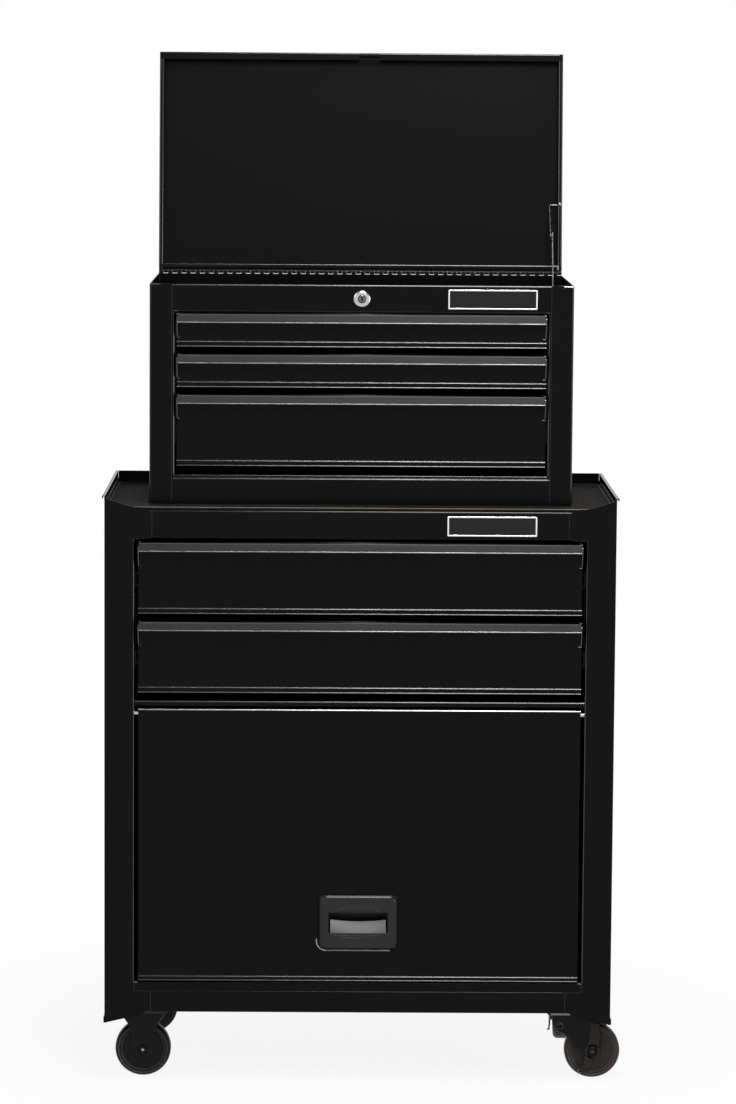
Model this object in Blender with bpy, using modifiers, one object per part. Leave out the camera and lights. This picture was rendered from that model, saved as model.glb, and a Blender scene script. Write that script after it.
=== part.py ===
"""Tool chest with an open lid, standing on a rolling cabinet with drawers and a door.

Metres, +Z up. Pieces are laid out in a build frame: X = 0 is the middle of the cabinet,
Y = 0 is the front plane of the cabinet's posts and +Y runs to the back, Z = 0 is the floor.
The frame empty then carries everything so that the object's footprint is centred on the
origin. The drawers and the door are shut, the lid stands open against its stop.
"""

import math

import bmesh
import bpy
from mathutils import Matrix, Vector

MM = 0.001

# Sheet metal, fits and cutters
SHEET = 1.0 * MM
GAP = 0.3 * MM
LAP = 0.5 * MM
OVERRUN = 2.0 * MM
WELD = 0.01 * MM
BORE_SIDES = 12

# Casters
WHEEL_RADIUS = 37.5 * MM
WHEEL_SIDES = 24
TREAD_WIDTH = 22.0 * MM
TREAD_FLAT_SHARE = 0.55
SHOULDER_RADIUS = 33.5 * MM
RING_RADIUS = 27.5 * MM
RING_DEPTH = 2.0 * MM
DISC_DEPTH = 1.0 * MM
HUB_RADIUS = 10.5 * MM
HUB_WIDTH = 23.0 * MM
HUB_PLAY = 0.5 * MM
AXLE_RADIUS = 3.9 * MM
AXLE_HEAD_RADIUS = 6.5 * MM
AXLE_HEAD = 4.0 * MM
FORK_SHEET = 2.5 * MM
FORK_END_RADIUS = 12.0 * MM
RIGID_LEG_HALF = 25.5 * MM
PLATE_WIDTH = 67.0 * MM
PLATE_LENGTH = 92.0 * MM
PLATE_SHEET = 3.0 * MM
PLATE_CORNER = 6.0 * MM
CASTER_INSET_X = 49.7 * MM
CASTER_INSET_Y = 50.0 * MM
CASTER_TRAIL = 28.5 * MM
REAR_SWIVEL_TURN = -90.0
RACE_RADIUS = 20.0 * MM
RACE_HEIGHT = 3.5 * MM
CROWN_RADIUS = 22.0 * MM
KINGPIN_RADIUS = 4.5 * MM
KINGPIN_HEAD_RADIUS = 8.0 * MM
KINGPIN_HEAD = 3.0 * MM
SWIVEL_LEG_HALF = 17.0 * MM
LEVER_SHEET = 2.0 * MM
LEVER_RING = 3.5 * MM
LEVER_ARM = 6.0 * MM
SHOE_REACH = 13.0 * MM
SHOE_CLEARANCE = 1.2 * MM
PEDAL_X = -19.0 * MM
PEDAL_Z = -30.0 * MM
PEDAL_WIDTH = 9.0 * MM
PEDAL_LENGTH = 8.0 * MM

# Cabinet shell
CABINET_WIDTH = 673.0 * MM
CABINET_DEPTH = 355.6 * MM
CABINET_BASE = 96.3 * MM
CABINET_HEIGHT = 670.5 * MM
CABINET_HEADER_HEIGHT = 38.2 * MM
CABINET_POST = 39.3 * MM
POST_RETURN = 20.0 * MM
GUSSET_REACH = 23.5 * MM
GUSSET_ROUND = 6.0 * MM
SILL_PLINTH = 28.4 * MM
PLINTH_PROUD = 0.8 * MM
SILL_HEIGHT = 41.2 * MM
RIM_RISE = 18.7 * MM
CORNER_RISE = 15.0 * MM
SKIRT_DROP = 15.2 * MM
HEM_WIDTH = 3.1 * MM
HEM_DROP = 3.8 * MM
SKIRT_HEM_WIDTH = 1.3 * MM
SKIRT_HEM_HEIGHT = 8.0 * MM
REAR_RETURN = 20.0 * MM
HEADER_TOP_FLANGE = 12.0 * MM
HEADER_BOTTOM_FLANGE = 16.0 * MM
SILL_FLANGE = 14.0 * MM
BACK_HEM = 4.0 * MM
TRAY_UPTURN = 8.0 * MM
MAT_THICKNESS = 2.4 * MM
MAT_CORNER = 14.0 * MM
DIVIDER_SPACE = 10.7 * MM
DIVIDER_HEIGHT = 6.8 * MM
DIVIDER_DEPTH = 58.0 * MM

# Chest shell
CHEST_SIDE_SPACE = 57.1 * MM
CHEST_REAR_SPACE = 9.6 * MM
CHEST_SETBACK = 46.0 * MM
CHEST_HEIGHT = 290.1 * MM
CHEST_POST = 33.2 * MM
CHEST_HEADER_HEIGHT = 37.0 * MM
CHEST_SILL_HEIGHT = 33.9 * MM
CHEST_SILL_STEP = 2.2 * MM
CHEST_SILL_RISE = 4.3 * MM
CHEST_REAR_RETURN = 15.0 * MM
CHEST_HEADER_FLANGE = 10.0 * MM

# Drawers and their pulls
CHEST_SHALLOW_HEIGHT = 45.0 * MM
CHEST_SHALLOW_COUNT = 2
CHEST_LAST_SPACE = 16.0 * MM
CABINET_DRAWER_HEIGHTS = (96.2 * MM, 96.2 * MM)
DRAWER_SPACE = 8.4 * MM
CHEST_FIRST_SPACE = 0.6 * MM
CABINET_FIRST_SPACE = 2.8 * MM
CHEST_FRONT_GAP = 2.9 * MM
CABINET_FRONT_GAP = 5.2 * MM
FRONT_TOP_DROP = 1.5 * MM
LEDGE_STEP = 1.5 * MM
LEDGE_HEIGHT = 6.5 * MM
HEM_STEP = 1.0 * MM
HEM_HEIGHT = 1.2 * MM
PULL_SHEET = 1.5 * MM
PULL_HEIGHT = 13.3 * MM
PULL_REACH = 12.5 * MM
PULL_TILT = 1.0 * MM
PULL_LIP = 2.0 * MM
PULL_FLANGE = 11.0 * MM
EAR_TAPER = 20.0 * MM
BOX_SIDE_PLAY = 1.0 * MM
BOX_TOP_DROP = 8.0 * MM
BOX_BOTTOM_RISE = 3.0 * MM
BOX_BACK_SPACE = 10.0 * MM
RAIL_WIDTH = 8.0 * MM
RAIL_HEIGHT = 18.0 * MM
RAIL_SHEET = 1.2 * MM
RAIL_SETBACK = 1.7 * MM
BRACKET_SHEET = 1.5 * MM
BRACKET_OVERHANG = 6.0 * MM

# Door with its cup pull
DOOR_TOP_GAP = 4.1 * MM
DOOR_BOTTOM_GAP = 1.4 * MM
DOOR_RETURN = 14.0 * MM
DOOR_PIVOT_DROP = 6.4 * MM
DOOR_PIVOT_BACK = 6.0 * MM
DOOR_PIN_RADIUS = 3.0 * MM
DOOR_PIN_HEAD_RADIUS = 5.0 * MM
DOOR_PIN_HEAD = 2.0 * MM
DOOR_PIN_END = 3.0 * MM
CUP_BEZEL_WIDTH = 108.0 * MM
CUP_BEZEL_HEIGHT = 72.3 * MM
CUP_BEZEL_PROUD = 6.0 * MM
CUP_BEZEL_CORNER = 9.5 * MM
CUP_BEZEL_BASE = 43.8 * MM
CUP_MOUTH_WIDTH = 78.6 * MM
CUP_MOUTH_HEIGHT = 27.9 * MM
CUP_MOUTH_BASE = 21.6 * MM
CUP_DEPTH = 26.0 * MM
CUP_WALL = 3.0 * MM
CUP_SLOPE_RISE = 15.0 * MM
CUP_HOOK_RISE = 7.5 * MM

# Lid, its continuous hinge and its stay
LID_HEIGHT = 20.0 * MM
LID_FRONT_LIP = 10.0 * MM
LID_REAR_LIP = 7.0 * MM
LID_SIDE_LIP = 5.6 * MM
LID_OPEN_ANGLE = 95.9
STRIKE_WIDTH = 28.0 * MM
STRIKE_DEPTH = 6.0 * MM
STRIKE_OFFSET = 11.5 * MM
STRIKE_SETBACK = 1.3 * MM
KNUCKLE_RADIUS = 2.8 * MM
KNUCKLE_SIDES = 6
BORE_RADIUS = 1.8 * MM
HINGE_PIN_RADIUS = 1.2 * MM
HINGE_PIN_SIDES = 8
HINGE_PERIODS = 11
LEAF_START = 3.2 * MM
LEAF_WIDTH = 11.8 * MM
STAY_RADIUS = 1.5 * MM
STAY_EYE_RADIUS = 4.0 * MM
STAY_EYE_STEPS = 14
STAY_EYE_SWEEP = 290.0
STAY_UPPER_INSET = 15.4 * MM
STAY_LID_REACH = 95.0 * MM
STAY_LID_RISE = 11.0 * MM
STAY_CHEST_REACH = 55.1 * MM
STAY_CHEST_DROP = 30.3 * MM
STAY_UPPER_LENGTH = 55.95 * MM
STAY_LOWER_LENGTH = 91.28 * MM

# Lock
LOCK_BELOW_TOP = 18.5 * MM
LOCK_FLANGE_RADIUS = 11.0 * MM
LOCK_FLANGE = 2.0 * MM
LOCK_BARREL_RADIUS = 8.0 * MM
LOCK_BARREL_BACK = 0.5 * MM
LOCK_PLUG_RADIUS = 5.0 * MM
LOCK_PLUG_PROUD = 0.5 * MM
LOCK_TAIL_RADIUS = 3.0 * MM
LOCK_TAIL_END = 0.8 * MM
KEYWAY_WIDTH = 1.6 * MM
KEYWAY_HEIGHT = 6.5 * MM
KEYWAY_DEPTH = 3.0 * MM
CAM_SHEET = 1.5 * MM
CAM_HUB_RADIUS = 6.0 * MM
CAM_HUB_SWEEP = 160.0
CAM_ARM_LEFT = -1.5 * MM
CAM_ARM_RIGHT = 5.5 * MM
CAM_FINGER_LEFT = -10.0 * MM
CAM_FINGER_LOW = 20.5 * MM
CAM_FINGER_HIGH = 25.0 * MM
CAM_SLOT_PLAY = 1.0 * MM

# Places that follow from the sizes above
FACET_RADIUS = WHEEL_RADIUS * math.cos(math.pi / WHEEL_SIDES)
AXLE_Z = FACET_RADIUS
CABINET_HALF = CABINET_WIDTH / 2
CABINET_TOP = CABINET_BASE + CABINET_HEIGHT
CABINET_FACE = SHEET + GAP
CABINET_INNER = CABINET_HALF - SHEET - GAP
CABINET_OPENING = CABINET_HALF - CABINET_POST
HEADER_BOTTOM = CABINET_TOP - CABINET_HEADER_HEIGHT
SILL_TOP = CABINET_BASE + SILL_HEIGHT
PLINTH_TOP = CABINET_BASE + SILL_PLINTH
RIM_TOP = CABINET_TOP + RIM_RISE
SKIRT_BOTTOM = CABINET_BASE - SKIRT_DROP
CABINET_BACK_IN = CABINET_DEPTH - SHEET
CABINET_RETURN_Y = CABINET_BACK_IN - GAP - SHEET
TRAY_BASE = CABINET_TOP + GAP
MAT_BASE = TRAY_BASE + SHEET + GAP
MAT_TOP = MAT_BASE + MAT_THICKNESS
CABINET_FIRST_TOP = HEADER_BOTTOM - CABINET_FIRST_SPACE
CABINET_STACK = sum(CABINET_DRAWER_HEIGHTS) + DRAWER_SPACE * (len(CABINET_DRAWER_HEIGHTS) - 1)
DIVIDER_Z = CABINET_FIRST_TOP - CABINET_STACK - DIVIDER_SPACE
DOOR_TOP = DIVIDER_Z - DIVIDER_HEIGHT - DOOR_TOP_GAP
DOOR_BOTTOM = SILL_TOP + DOOR_BOTTOM_GAP
DOOR_PIVOT = Vector((0, CABINET_FACE + DOOR_PIVOT_BACK, DOOR_TOP - DOOR_PIVOT_DROP))
CABINET_FRONT_HALF = CABINET_OPENING - CABINET_FRONT_GAP
CHEST_HALF = CABINET_HALF - CHEST_SIDE_SPACE
CHEST_BASE = MAT_TOP + GAP
CHEST_TOP = CHEST_BASE + CHEST_HEIGHT
CHEST_BACK = CABINET_DEPTH - CHEST_REAR_SPACE
CHEST_FACE = CHEST_SETBACK + SHEET + GAP
CHEST_INNER = CHEST_HALF - SHEET - GAP
CHEST_OPENING = CHEST_HALF - CHEST_POST
CHEST_RETURN_Y = CHEST_BACK - SHEET - GAP - SHEET
CHEST_HEADER_BOTTOM = CHEST_TOP - CHEST_HEADER_HEIGHT
CHEST_SILL_TOP = CHEST_BASE + CHEST_SILL_HEIGHT
CHEST_FRONT_HALF = CHEST_OPENING - CHEST_FRONT_GAP
CHEST_FIRST_TOP = CHEST_HEADER_BOTTOM - CHEST_FIRST_SPACE
CHEST_DEEP_TOP = CHEST_FIRST_TOP - CHEST_SHALLOW_COUNT * (CHEST_SHALLOW_HEIGHT + DRAWER_SPACE)
CHEST_DEEP_HEIGHT = CHEST_DEEP_TOP - CHEST_SILL_TOP - CHEST_LAST_SPACE
CHEST_DRAWER_HEIGHTS = (CHEST_SHALLOW_HEIGHT,) * CHEST_SHALLOW_COUNT + (CHEST_DEEP_HEIGHT,)
TILL_Z = CHEST_HEADER_BOTTOM + SHEET + GAP
HINGE = Vector((0, CHEST_BACK + GAP + KNUCKLE_RADIUS, CHEST_TOP + GAP + KNUCKLE_RADIUS))
LID_BASE = CHEST_TOP + GAP
LID_TOP = LID_BASE + LID_HEIGHT
LOCK = Vector((0, CHEST_FACE, CHEST_TOP - LOCK_BELOW_TOP))
CAM_Y = CHEST_FACE + SHEET + LOCK_BARREL_BACK + GAP
STAY_LOWER_INSET = STAY_UPPER_INSET - 2 * STAY_RADIUS - GAP
PLATE_TOP = CABINET_BASE - GAP
PLATE_BOTTOM = PLATE_TOP - PLATE_SHEET
LEG_Y = HUB_WIDTH / 2 + HUB_PLAY
CROWN_TOP = PLATE_BOTTOM - RACE_HEIGHT - GAP
CROWN_BOTTOM = CROWN_TOP - FORK_SHEET

# Finishes: base colour, roughness, metallic
FINISHES = {
    "black_enamel": ((0.010, 0.010, 0.011, 1.0), 0.35, 0.0),
    "grey_pull": ((0.085, 0.087, 0.090, 1.0), 0.38, 0.8),
    "zinc": ((0.52, 0.53, 0.55, 1.0), 0.32, 1.0),
    "dark_steel": ((0.045, 0.045, 0.048, 1.0), 0.42, 0.7),
    "rubber_mat": ((0.055, 0.050, 0.045, 1.0), 0.85, 0.0),
    "wheel_plastic": ((0.018, 0.017, 0.017, 1.0), 0.55, 0.0),
    "cup_plastic": ((0.050, 0.050, 0.055, 1.0), 0.45, 0.0),
}

# Local (u, v, w) of an outline turned so that w runs along the named axis
TURNS = {
    "X": Matrix(((0, 0, 1, 0), (1, 0, 0, 0), (0, 1, 0, 0), (0, 0, 0, 1))),
    "Y": Matrix(((1, 0, 0, 0), (0, 0, 1, 0), (0, 1, 0, 0), (0, 0, 0, 1))),
    "Z": Matrix.Identity(4),
}


def clear_scene():
    """Remove the objects of the file that the script runs in."""
    for item in list(bpy.data.objects):
        bpy.data.objects.remove(item, do_unlink=True)


def new_collection(name):
    """Make a collection of the scene."""
    collection = bpy.data.collections.new(name)
    bpy.context.scene.collection.children.link(collection)
    return collection


clear_scene()
PARTS = new_collection("tool_chest_and_cabinet")
CUTTERS = new_collection("cutters")
FRAME = bpy.data.objects.new("frame", None)
PARTS.objects.link(FRAME)


def settled(mesh):
    """Weld a mesh and turn its faces outward."""
    work = bmesh.new()
    work.from_mesh(mesh)
    bmesh.ops.remove_doubles(work, verts=work.verts, dist=WELD)
    bmesh.ops.recalc_face_normals(work, faces=work.faces)
    work.to_mesh(mesh)
    work.free()
    return mesh


def evaluated(data, normal="Z", modify=None):
    """Mesh of a curve or mesh with its modifiers applied, turned to the named axis."""
    item = bpy.data.objects.new("shape", data)
    bpy.context.scene.collection.objects.link(item)
    if modify:
        modify(item)
    bpy.context.view_layer.update()
    graph = bpy.context.evaluated_depsgraph_get()
    mesh = bpy.data.meshes.new_from_object(item.evaluated_get(graph))
    bpy.data.objects.remove(item, do_unlink=True)
    mesh.transform(TURNS[normal])
    return settled(mesh)


def slab(outline, normal, low, high, holes=()):
    """A flat outline given across the named axis, filled between two levels along it."""
    curve = bpy.data.curves.new("outline", "CURVE")
    curve.dimensions = "2D"
    curve.fill_mode = "BOTH"
    curve.extrude = (high - low) / 2
    for loop in (outline, *holes):
        spline = curve.splines.new("POLY")
        spline.points.add(len(loop) - 1)
        for point, (u, v) in zip(spline.points, loop):
            point.co = (u, v, 0, 1)
        spline.use_cyclic_u = True
    mesh = evaluated(curve)
    mesh.transform(Matrix.Translation((0, 0, (low + high) / 2)))
    mesh.transform(TURNS[normal])
    return settled(mesh)


def box(x0, x1, y0, y1, z0, z1):
    """A block between two corners."""
    work = bmesh.new()
    bmesh.ops.create_cube(work, size=1.0)
    size = Matrix.Diagonal((abs(x1 - x0), y1 - y0, z1 - z0, 1))
    place = Matrix.Translation(((x0 + x1) / 2, (y0 + y1) / 2, (z0 + z1) / 2))
    work.transform(place @ size)
    mesh = bpy.data.meshes.new("block")
    work.to_mesh(mesh)
    work.free()
    return settled(mesh)


def disc(centre, radius, normal, low, high, sides=16):
    """A round bar along the named axis, between two levels along it."""
    work = bmesh.new()
    bmesh.ops.create_cone(
        work, cap_ends=True, segments=sides, radius1=radius, radius2=radius, depth=high - low
    )
    work.transform(Matrix.Translation((centre[0], centre[1], (low + high) / 2)))
    work.transform(TURNS[normal])
    mesh = bpy.data.meshes.new("bar")
    work.to_mesh(mesh)
    work.free()
    return settled(mesh)


def folded(points, normal, low, high, sheet=SHEET):
    """A folded sheet: its middle line across the named axis, run between two levels."""
    work = bmesh.new()
    verts = [work.verts.new((u, v, low)) for u, v in points]
    edges = [work.edges.new(pair) for pair in zip(verts, verts[1:])]
    grown = bmesh.ops.extrude_edge_only(work, edges=edges)["geom"]
    moved = [item for item in grown if isinstance(item, bmesh.types.BMVert)]
    bmesh.ops.translate(work, verts=moved, vec=(0, 0, high - low))
    mesh = bpy.data.meshes.new("sheet")
    work.to_mesh(mesh)
    work.free()

    def thicken(item):
        solidify = item.modifiers.new("thickness", "SOLIDIFY")
        solidify.thickness = sheet
        solidify.offset = 0.0
        solidify.use_even_offset = True

    return evaluated(mesh, normal, thicken)


def turned(profile, normal, centre, sides, start=0.0):
    """A turned piece: a closed profile of (radius, height) points round the named axis."""
    work = bmesh.new()
    verts = [work.verts.new((radius, 0, height)) for radius, height in profile]
    for pair in zip(verts, verts[1:] + verts[:1]):
        if pair[0].co.x > 0 or pair[1].co.x > 0:
            work.edges.new(pair)
    mesh = bpy.data.meshes.new("turning")
    work.to_mesh(mesh)
    work.free()

    def spin(item):
        screw = item.modifiers.new("turn", "SCREW")
        screw.steps = sides
        screw.render_steps = sides
        screw.use_merge_vertices = True
        screw.merge_threshold = WELD

    mesh = evaluated(mesh, "Z", spin)
    mesh.transform(Matrix.Rotation(start, 4, "Z"))
    mesh.transform(Matrix.Translation((centre[0], centre[1], 0)))
    mesh.transform(TURNS[normal])
    return settled(mesh)


def wire(points, radius):
    """A bent wire through the points, with closed ends."""
    curve = bpy.data.curves.new("wire", "CURVE")
    curve.dimensions = "3D"
    curve.bevel_depth = radius
    curve.bevel_resolution = 2
    curve.use_fill_caps = True
    spline = curve.splines.new("POLY")
    spline.points.add(len(points) - 1)
    for point, place in zip(spline.points, points):
        point.co = (*place, 1)
    return evaluated(curve)


def arc(centre, radius, start, end, steps):
    """Points of an arc, both ends included, angles in degrees."""
    angles = [math.radians(start + (end - start) * i / steps) for i in range(steps + 1)]
    return [
        (centre[0] + radius * math.cos(angle), centre[1] + radius * math.sin(angle))
        for angle in angles
    ]


def ring(centre, radius, sides):
    """Points of a whole circle."""
    angles = [math.tau * i / sides for i in range(sides)]
    return [
        (centre[0] + radius * math.cos(angle), centre[1] + radius * math.sin(angle))
        for angle in angles
    ]


def rounded_rectangle(u0, u1, v0, v1, radius, steps=4):
    """Outline of a rectangle with round corners."""
    corners = (
        ((u1 - radius, v0 + radius), -90),
        ((u1 - radius, v1 - radius), 0),
        ((u0 + radius, v1 - radius), 90),
        ((u0 + radius, v0 + radius), 180),
    )
    outline = []
    for centre, start in corners:
        outline += arc(centre, radius, start, start + 90, steps)
    return outline


def mirrored(points, side):
    """Points with their first coordinate taken to the left for side -1."""
    return [(side * point[0], *point[1:]) for point in points]


def side_box(side, x0, x1, y0, y1, z0, z1):
    """A block on the right for side 1, and its mirror image on the left for side -1."""
    low, high = sorted((side * x0, side * x1))
    return box(low, high, y0, y1, z0, z1)


def side_slab(side, outline, low, high):
    """A slab square to X between two distances from the middle, on the named side."""
    start, end = sorted((side * low, side * high))
    return slab(outline, "X", start, end)


def dress(item, finish, smooth):
    """Give an object its own material, and round shading where asked."""
    colour, roughness, metallic = FINISHES[finish]
    material = bpy.data.materials.new(f"{item.name}_{finish}")
    material.use_nodes = True
    shader = material.node_tree.nodes["Principled BSDF"]
    shader.inputs["Base Color"].default_value = colour
    shader.inputs["Roughness"].default_value = roughness
    shader.inputs["Metallic"].default_value = metallic
    item.data.materials.clear()
    item.data.materials.append(material)
    if smooth:
        item.data.shade_smooth()
        item.data.set_sharp_from_angle(angle=math.radians(40))


def piece(name, finish, base, joins=(), cuts=(), pivot=(0, 0, 0), turn=None, parent=FRAME, smooth=False):
    """Make a node from shapes laid out in the frame of its parent, its origin at the pivot."""
    home = Matrix.Translation(-Vector(pivot))
    base.transform(home)
    item = bpy.data.objects.new(name, base)
    item.data.name = name
    PARTS.objects.link(item)
    item.parent = parent
    item.location = pivot
    if turn:
        item.rotation_euler = turn
    for operation, shapes in (("UNION", joins), ("DIFFERENCE", cuts)):
        for number, shape in enumerate(shapes):
            shape.transform(home)
            tool = bpy.data.objects.new(f"{name}_{operation.lower()}_{number}", shape)
            CUTTERS.objects.link(tool)
            tool.parent = item
            tool.hide_render = True
            tool.display_type = "WIRE"
            boolean = item.modifiers.new(tool.name, "BOOLEAN")
            boolean.operation = operation
            boolean.solver = "EXACT"
            boolean.object = tool
    dress(item, finish, smooth)
    return item


def wheel_profile():
    """Half section of a caster wheel: tread, side ring, disc and hub, closed at the bore."""
    half = TREAD_WIDTH / 2
    bore = AXLE_RADIUS + GAP
    upper = [
        (WHEEL_RADIUS, half * TREAD_FLAT_SHARE),
        ((WHEEL_RADIUS + SHOULDER_RADIUS) / 2, half - DISC_DEPTH),
        (SHOULDER_RADIUS, half),
        (SHOULDER_RADIUS - RING_DEPTH / 2, half - RING_DEPTH),
        (RING_RADIUS + RING_DEPTH / 2, half - RING_DEPTH),
        (RING_RADIUS, half - DISC_DEPTH),
        (HUB_RADIUS + RING_DEPTH, half - RING_DEPTH - DISC_DEPTH),
        (HUB_RADIUS, HUB_WIDTH / 2),
        (bore, HUB_WIDTH / 2),
    ]
    lower = [(radius, -height) for radius, height in reversed(upper)]
    return upper + lower


def axle_profile():
    """Section of a bolt with its head and nut outside the fork legs."""
    seat = LEG_Y + FORK_SHEET + GAP
    end = seat + AXLE_HEAD
    return [
        (0, end), (AXLE_HEAD_RADIUS, end), (AXLE_HEAD_RADIUS, seat), (AXLE_RADIUS, seat),
        (AXLE_RADIUS, -seat), (AXLE_HEAD_RADIUS, -seat), (AXLE_HEAD_RADIUS, -end), (0, -end),
    ]


def leg_outline(top_half, axle_x, top):
    """A fork leg seen along the axle: wide at the top, round at the axle."""
    end = arc((axle_x, AXLE_Z), FORK_END_RADIUS, 0, -180, 8)
    return [(-top_half, top), (top_half, top), *end]


def fork_legs(top_half, axle_x, top):
    """The two legs of a fork, astride Y = 0, each bored for the axle."""
    outline = leg_outline(top_half, axle_x, top)
    bore = ring((axle_x, AXLE_Z), AXLE_RADIUS + GAP, BORE_SIDES)
    front = slab(outline, "Y", -LEG_Y - FORK_SHEET, -LEG_Y, [bore])
    rear = slab(outline, "Y", LEG_Y, LEG_Y + FORK_SHEET, [bore])
    return [front, rear]


def caster_plate():
    """The bolted plate of a caster, centred on its own X = Y = 0."""
    outline = rounded_rectangle(
        -PLATE_WIDTH / 2, PLATE_WIDTH / 2, -PLATE_LENGTH / 2, PLATE_LENGTH / 2, PLATE_CORNER, 2
    )
    return slab(outline, "Z", PLATE_BOTTOM, PLATE_TOP)


def wheel_and_axle(name, axle_x, parent):
    """A wheel and its bolt, their axis along the carrier's own Y."""
    pivot = (axle_x, 0, AXLE_Z)
    half_facet = math.pi / WHEEL_SIDES
    tyre = turned(wheel_profile(), "Y", (axle_x, AXLE_Z), WHEEL_SIDES, half_facet)
    piece(f"{name}_wheel", "wheel_plastic", tyre, pivot=pivot, parent=parent, smooth=True)
    bolt = turned(axle_profile(), "Y", (axle_x, AXLE_Z), 12)
    piece(f"{name}_axle", "zinc", bolt, pivot=pivot, parent=parent, smooth=True)


def place_holder(name, place):
    """An empty that carries a caster at its place under the cabinet."""
    holder = bpy.data.objects.new(name, None)
    PARTS.objects.link(holder)
    holder.parent = FRAME
    holder.location = place
    return holder


def rigid_caster(name, place):
    """A caster that doesn't swivel: plate and legs in one piece."""
    holder = place_holder(f"{name}_place", place)
    legs = fork_legs(RIGID_LEG_HALF, 0, PLATE_BOTTOM + LAP)
    piece(f"{name}_fork", "dark_steel", caster_plate(), joins=legs, parent=holder)
    wheel_and_axle(name, 0, holder)


def brake_lever_shape():
    """The side lever of a swivel caster, hung on the axle's head, as base, joins and cuts."""
    centre = (CASTER_TRAIL, AXLE_Z)
    back = -LEG_Y - FORK_SHEET - GAP
    front = back - LEVER_SHEET
    ring_radius = AXLE_HEAD_RADIUS + GAP + LEVER_RING
    collar = disc(centre, ring_radius, "Y", front, back, 20)
    shoe_low = AXLE_Z + WHEEL_RADIUS + SHOE_CLEARANCE
    shoe_high = shoe_low + LEVER_SHEET
    arm = box(
        CASTER_TRAIL - LEVER_ARM / 2, CASTER_TRAIL + LEVER_ARM / 2, front, back, AXLE_Z, shoe_high
    )
    shoe = box(
        CASTER_TRAIL - LEVER_ARM / 2, CASTER_TRAIL + LEVER_ARM / 2,
        front, front + SHOE_REACH, shoe_low, shoe_high,
    )
    pedal_x = CASTER_TRAIL + PEDAL_X
    pedal_z = AXLE_Z + PEDAL_Z
    shank = slab(
        [
            (CASTER_TRAIL - ring_radius / 2, AXLE_Z - ring_radius / 2),
            (pedal_x, pedal_z),
            (pedal_x + PEDAL_WIDTH, pedal_z),
            (CASTER_TRAIL + ring_radius / 2, AXLE_Z - ring_radius / 2),
        ],
        "Y", front, back,
    )
    pedal = box(
        pedal_x, pedal_x + PEDAL_WIDTH, front - PEDAL_LENGTH, back,
        pedal_z - LEVER_SHEET + LAP, pedal_z + LAP,
    )
    bore = disc(
        centre, AXLE_HEAD_RADIUS + GAP, "Y", front - OVERRUN, back + OVERRUN, 20
    )
    return collar, [arm, shoe, shank, pedal], [bore]


def swivel_caster(name, place, turn):
    """A caster that swivels: its plate stays, its fork, wheel and brake lever turn."""
    holder = place_holder(f"{name}_place", place)
    race = disc((0, 0), RACE_RADIUS, "Z", PLATE_BOTTOM - RACE_HEIGHT, PLATE_BOTTOM + LAP, 20)
    head_top = CROWN_BOTTOM - GAP
    pin = disc((0, 0), KINGPIN_RADIUS, "Z", head_top - LAP, PLATE_BOTTOM - RACE_HEIGHT + LAP, 12)
    head = disc((0, 0), KINGPIN_HEAD_RADIUS, "Z", head_top - KINGPIN_HEAD, head_top, 12)
    piece(f"{name}_plate", "dark_steel", caster_plate(), joins=[race, pin, head], parent=holder)
    crown = disc((0, 0), CROWN_RADIUS, "Z", CROWN_BOTTOM, CROWN_TOP, 24)
    hole = disc(
        (0, 0), KINGPIN_RADIUS + GAP, "Z", CROWN_BOTTOM - OVERRUN, CROWN_TOP + OVERRUN, 16
    )
    legs = fork_legs(SWIVEL_LEG_HALF, CASTER_TRAIL, CROWN_BOTTOM + LAP)
    fork = piece(
        f"{name}_fork", "dark_steel", crown, joins=legs, cuts=[hole],
        turn=(0, 0, math.radians(turn)), parent=holder,
    )
    wheel_and_axle(name, CASTER_TRAIL, fork)
    collar, joins, cuts = brake_lever_shape()
    piece(
        f"{name}_brake_lever", "dark_steel", collar, joins=joins, cuts=cuts,
        pivot=(CASTER_TRAIL, 0, AXLE_Z), parent=fork,
    )


def make_casters():
    """Rigid casters on the left, swivel casters with brakes on the right."""
    across = CABINET_HALF - CASTER_INSET_X
    front = CASTER_INSET_Y
    rear = CABINET_DEPTH - CASTER_INSET_Y
    rigid_caster("caster_front_left", (-across, front, 0))
    rigid_caster("caster_rear_left", (-across, rear, 0))
    swivel_caster("caster_front_right", (across, front, 0), 0)
    swivel_caster("caster_rear_right", (across, rear, 0), REAR_SWIVEL_TURN)


def cabinet_post_outline():
    """Front of a cabinet post: wide beside the header and the plinth, sloped at both ends."""
    wide = CABINET_OPENING - GUSSET_REACH
    return [
        (CABINET_HALF, SKIRT_BOTTOM),
        (CABINET_HALF, CABINET_TOP + CORNER_RISE),
        (wide, CABINET_TOP),
        *arc((wide + GUSSET_ROUND, HEADER_BOTTOM + GUSSET_ROUND), GUSSET_ROUND, 180, 270, 3),
        (CABINET_OPENING, HEADER_BOTTOM),
        (CABINET_OPENING, PLINTH_TOP),
        (wide, PLINTH_TOP),
        (wide, CABINET_BASE),
    ]


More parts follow.
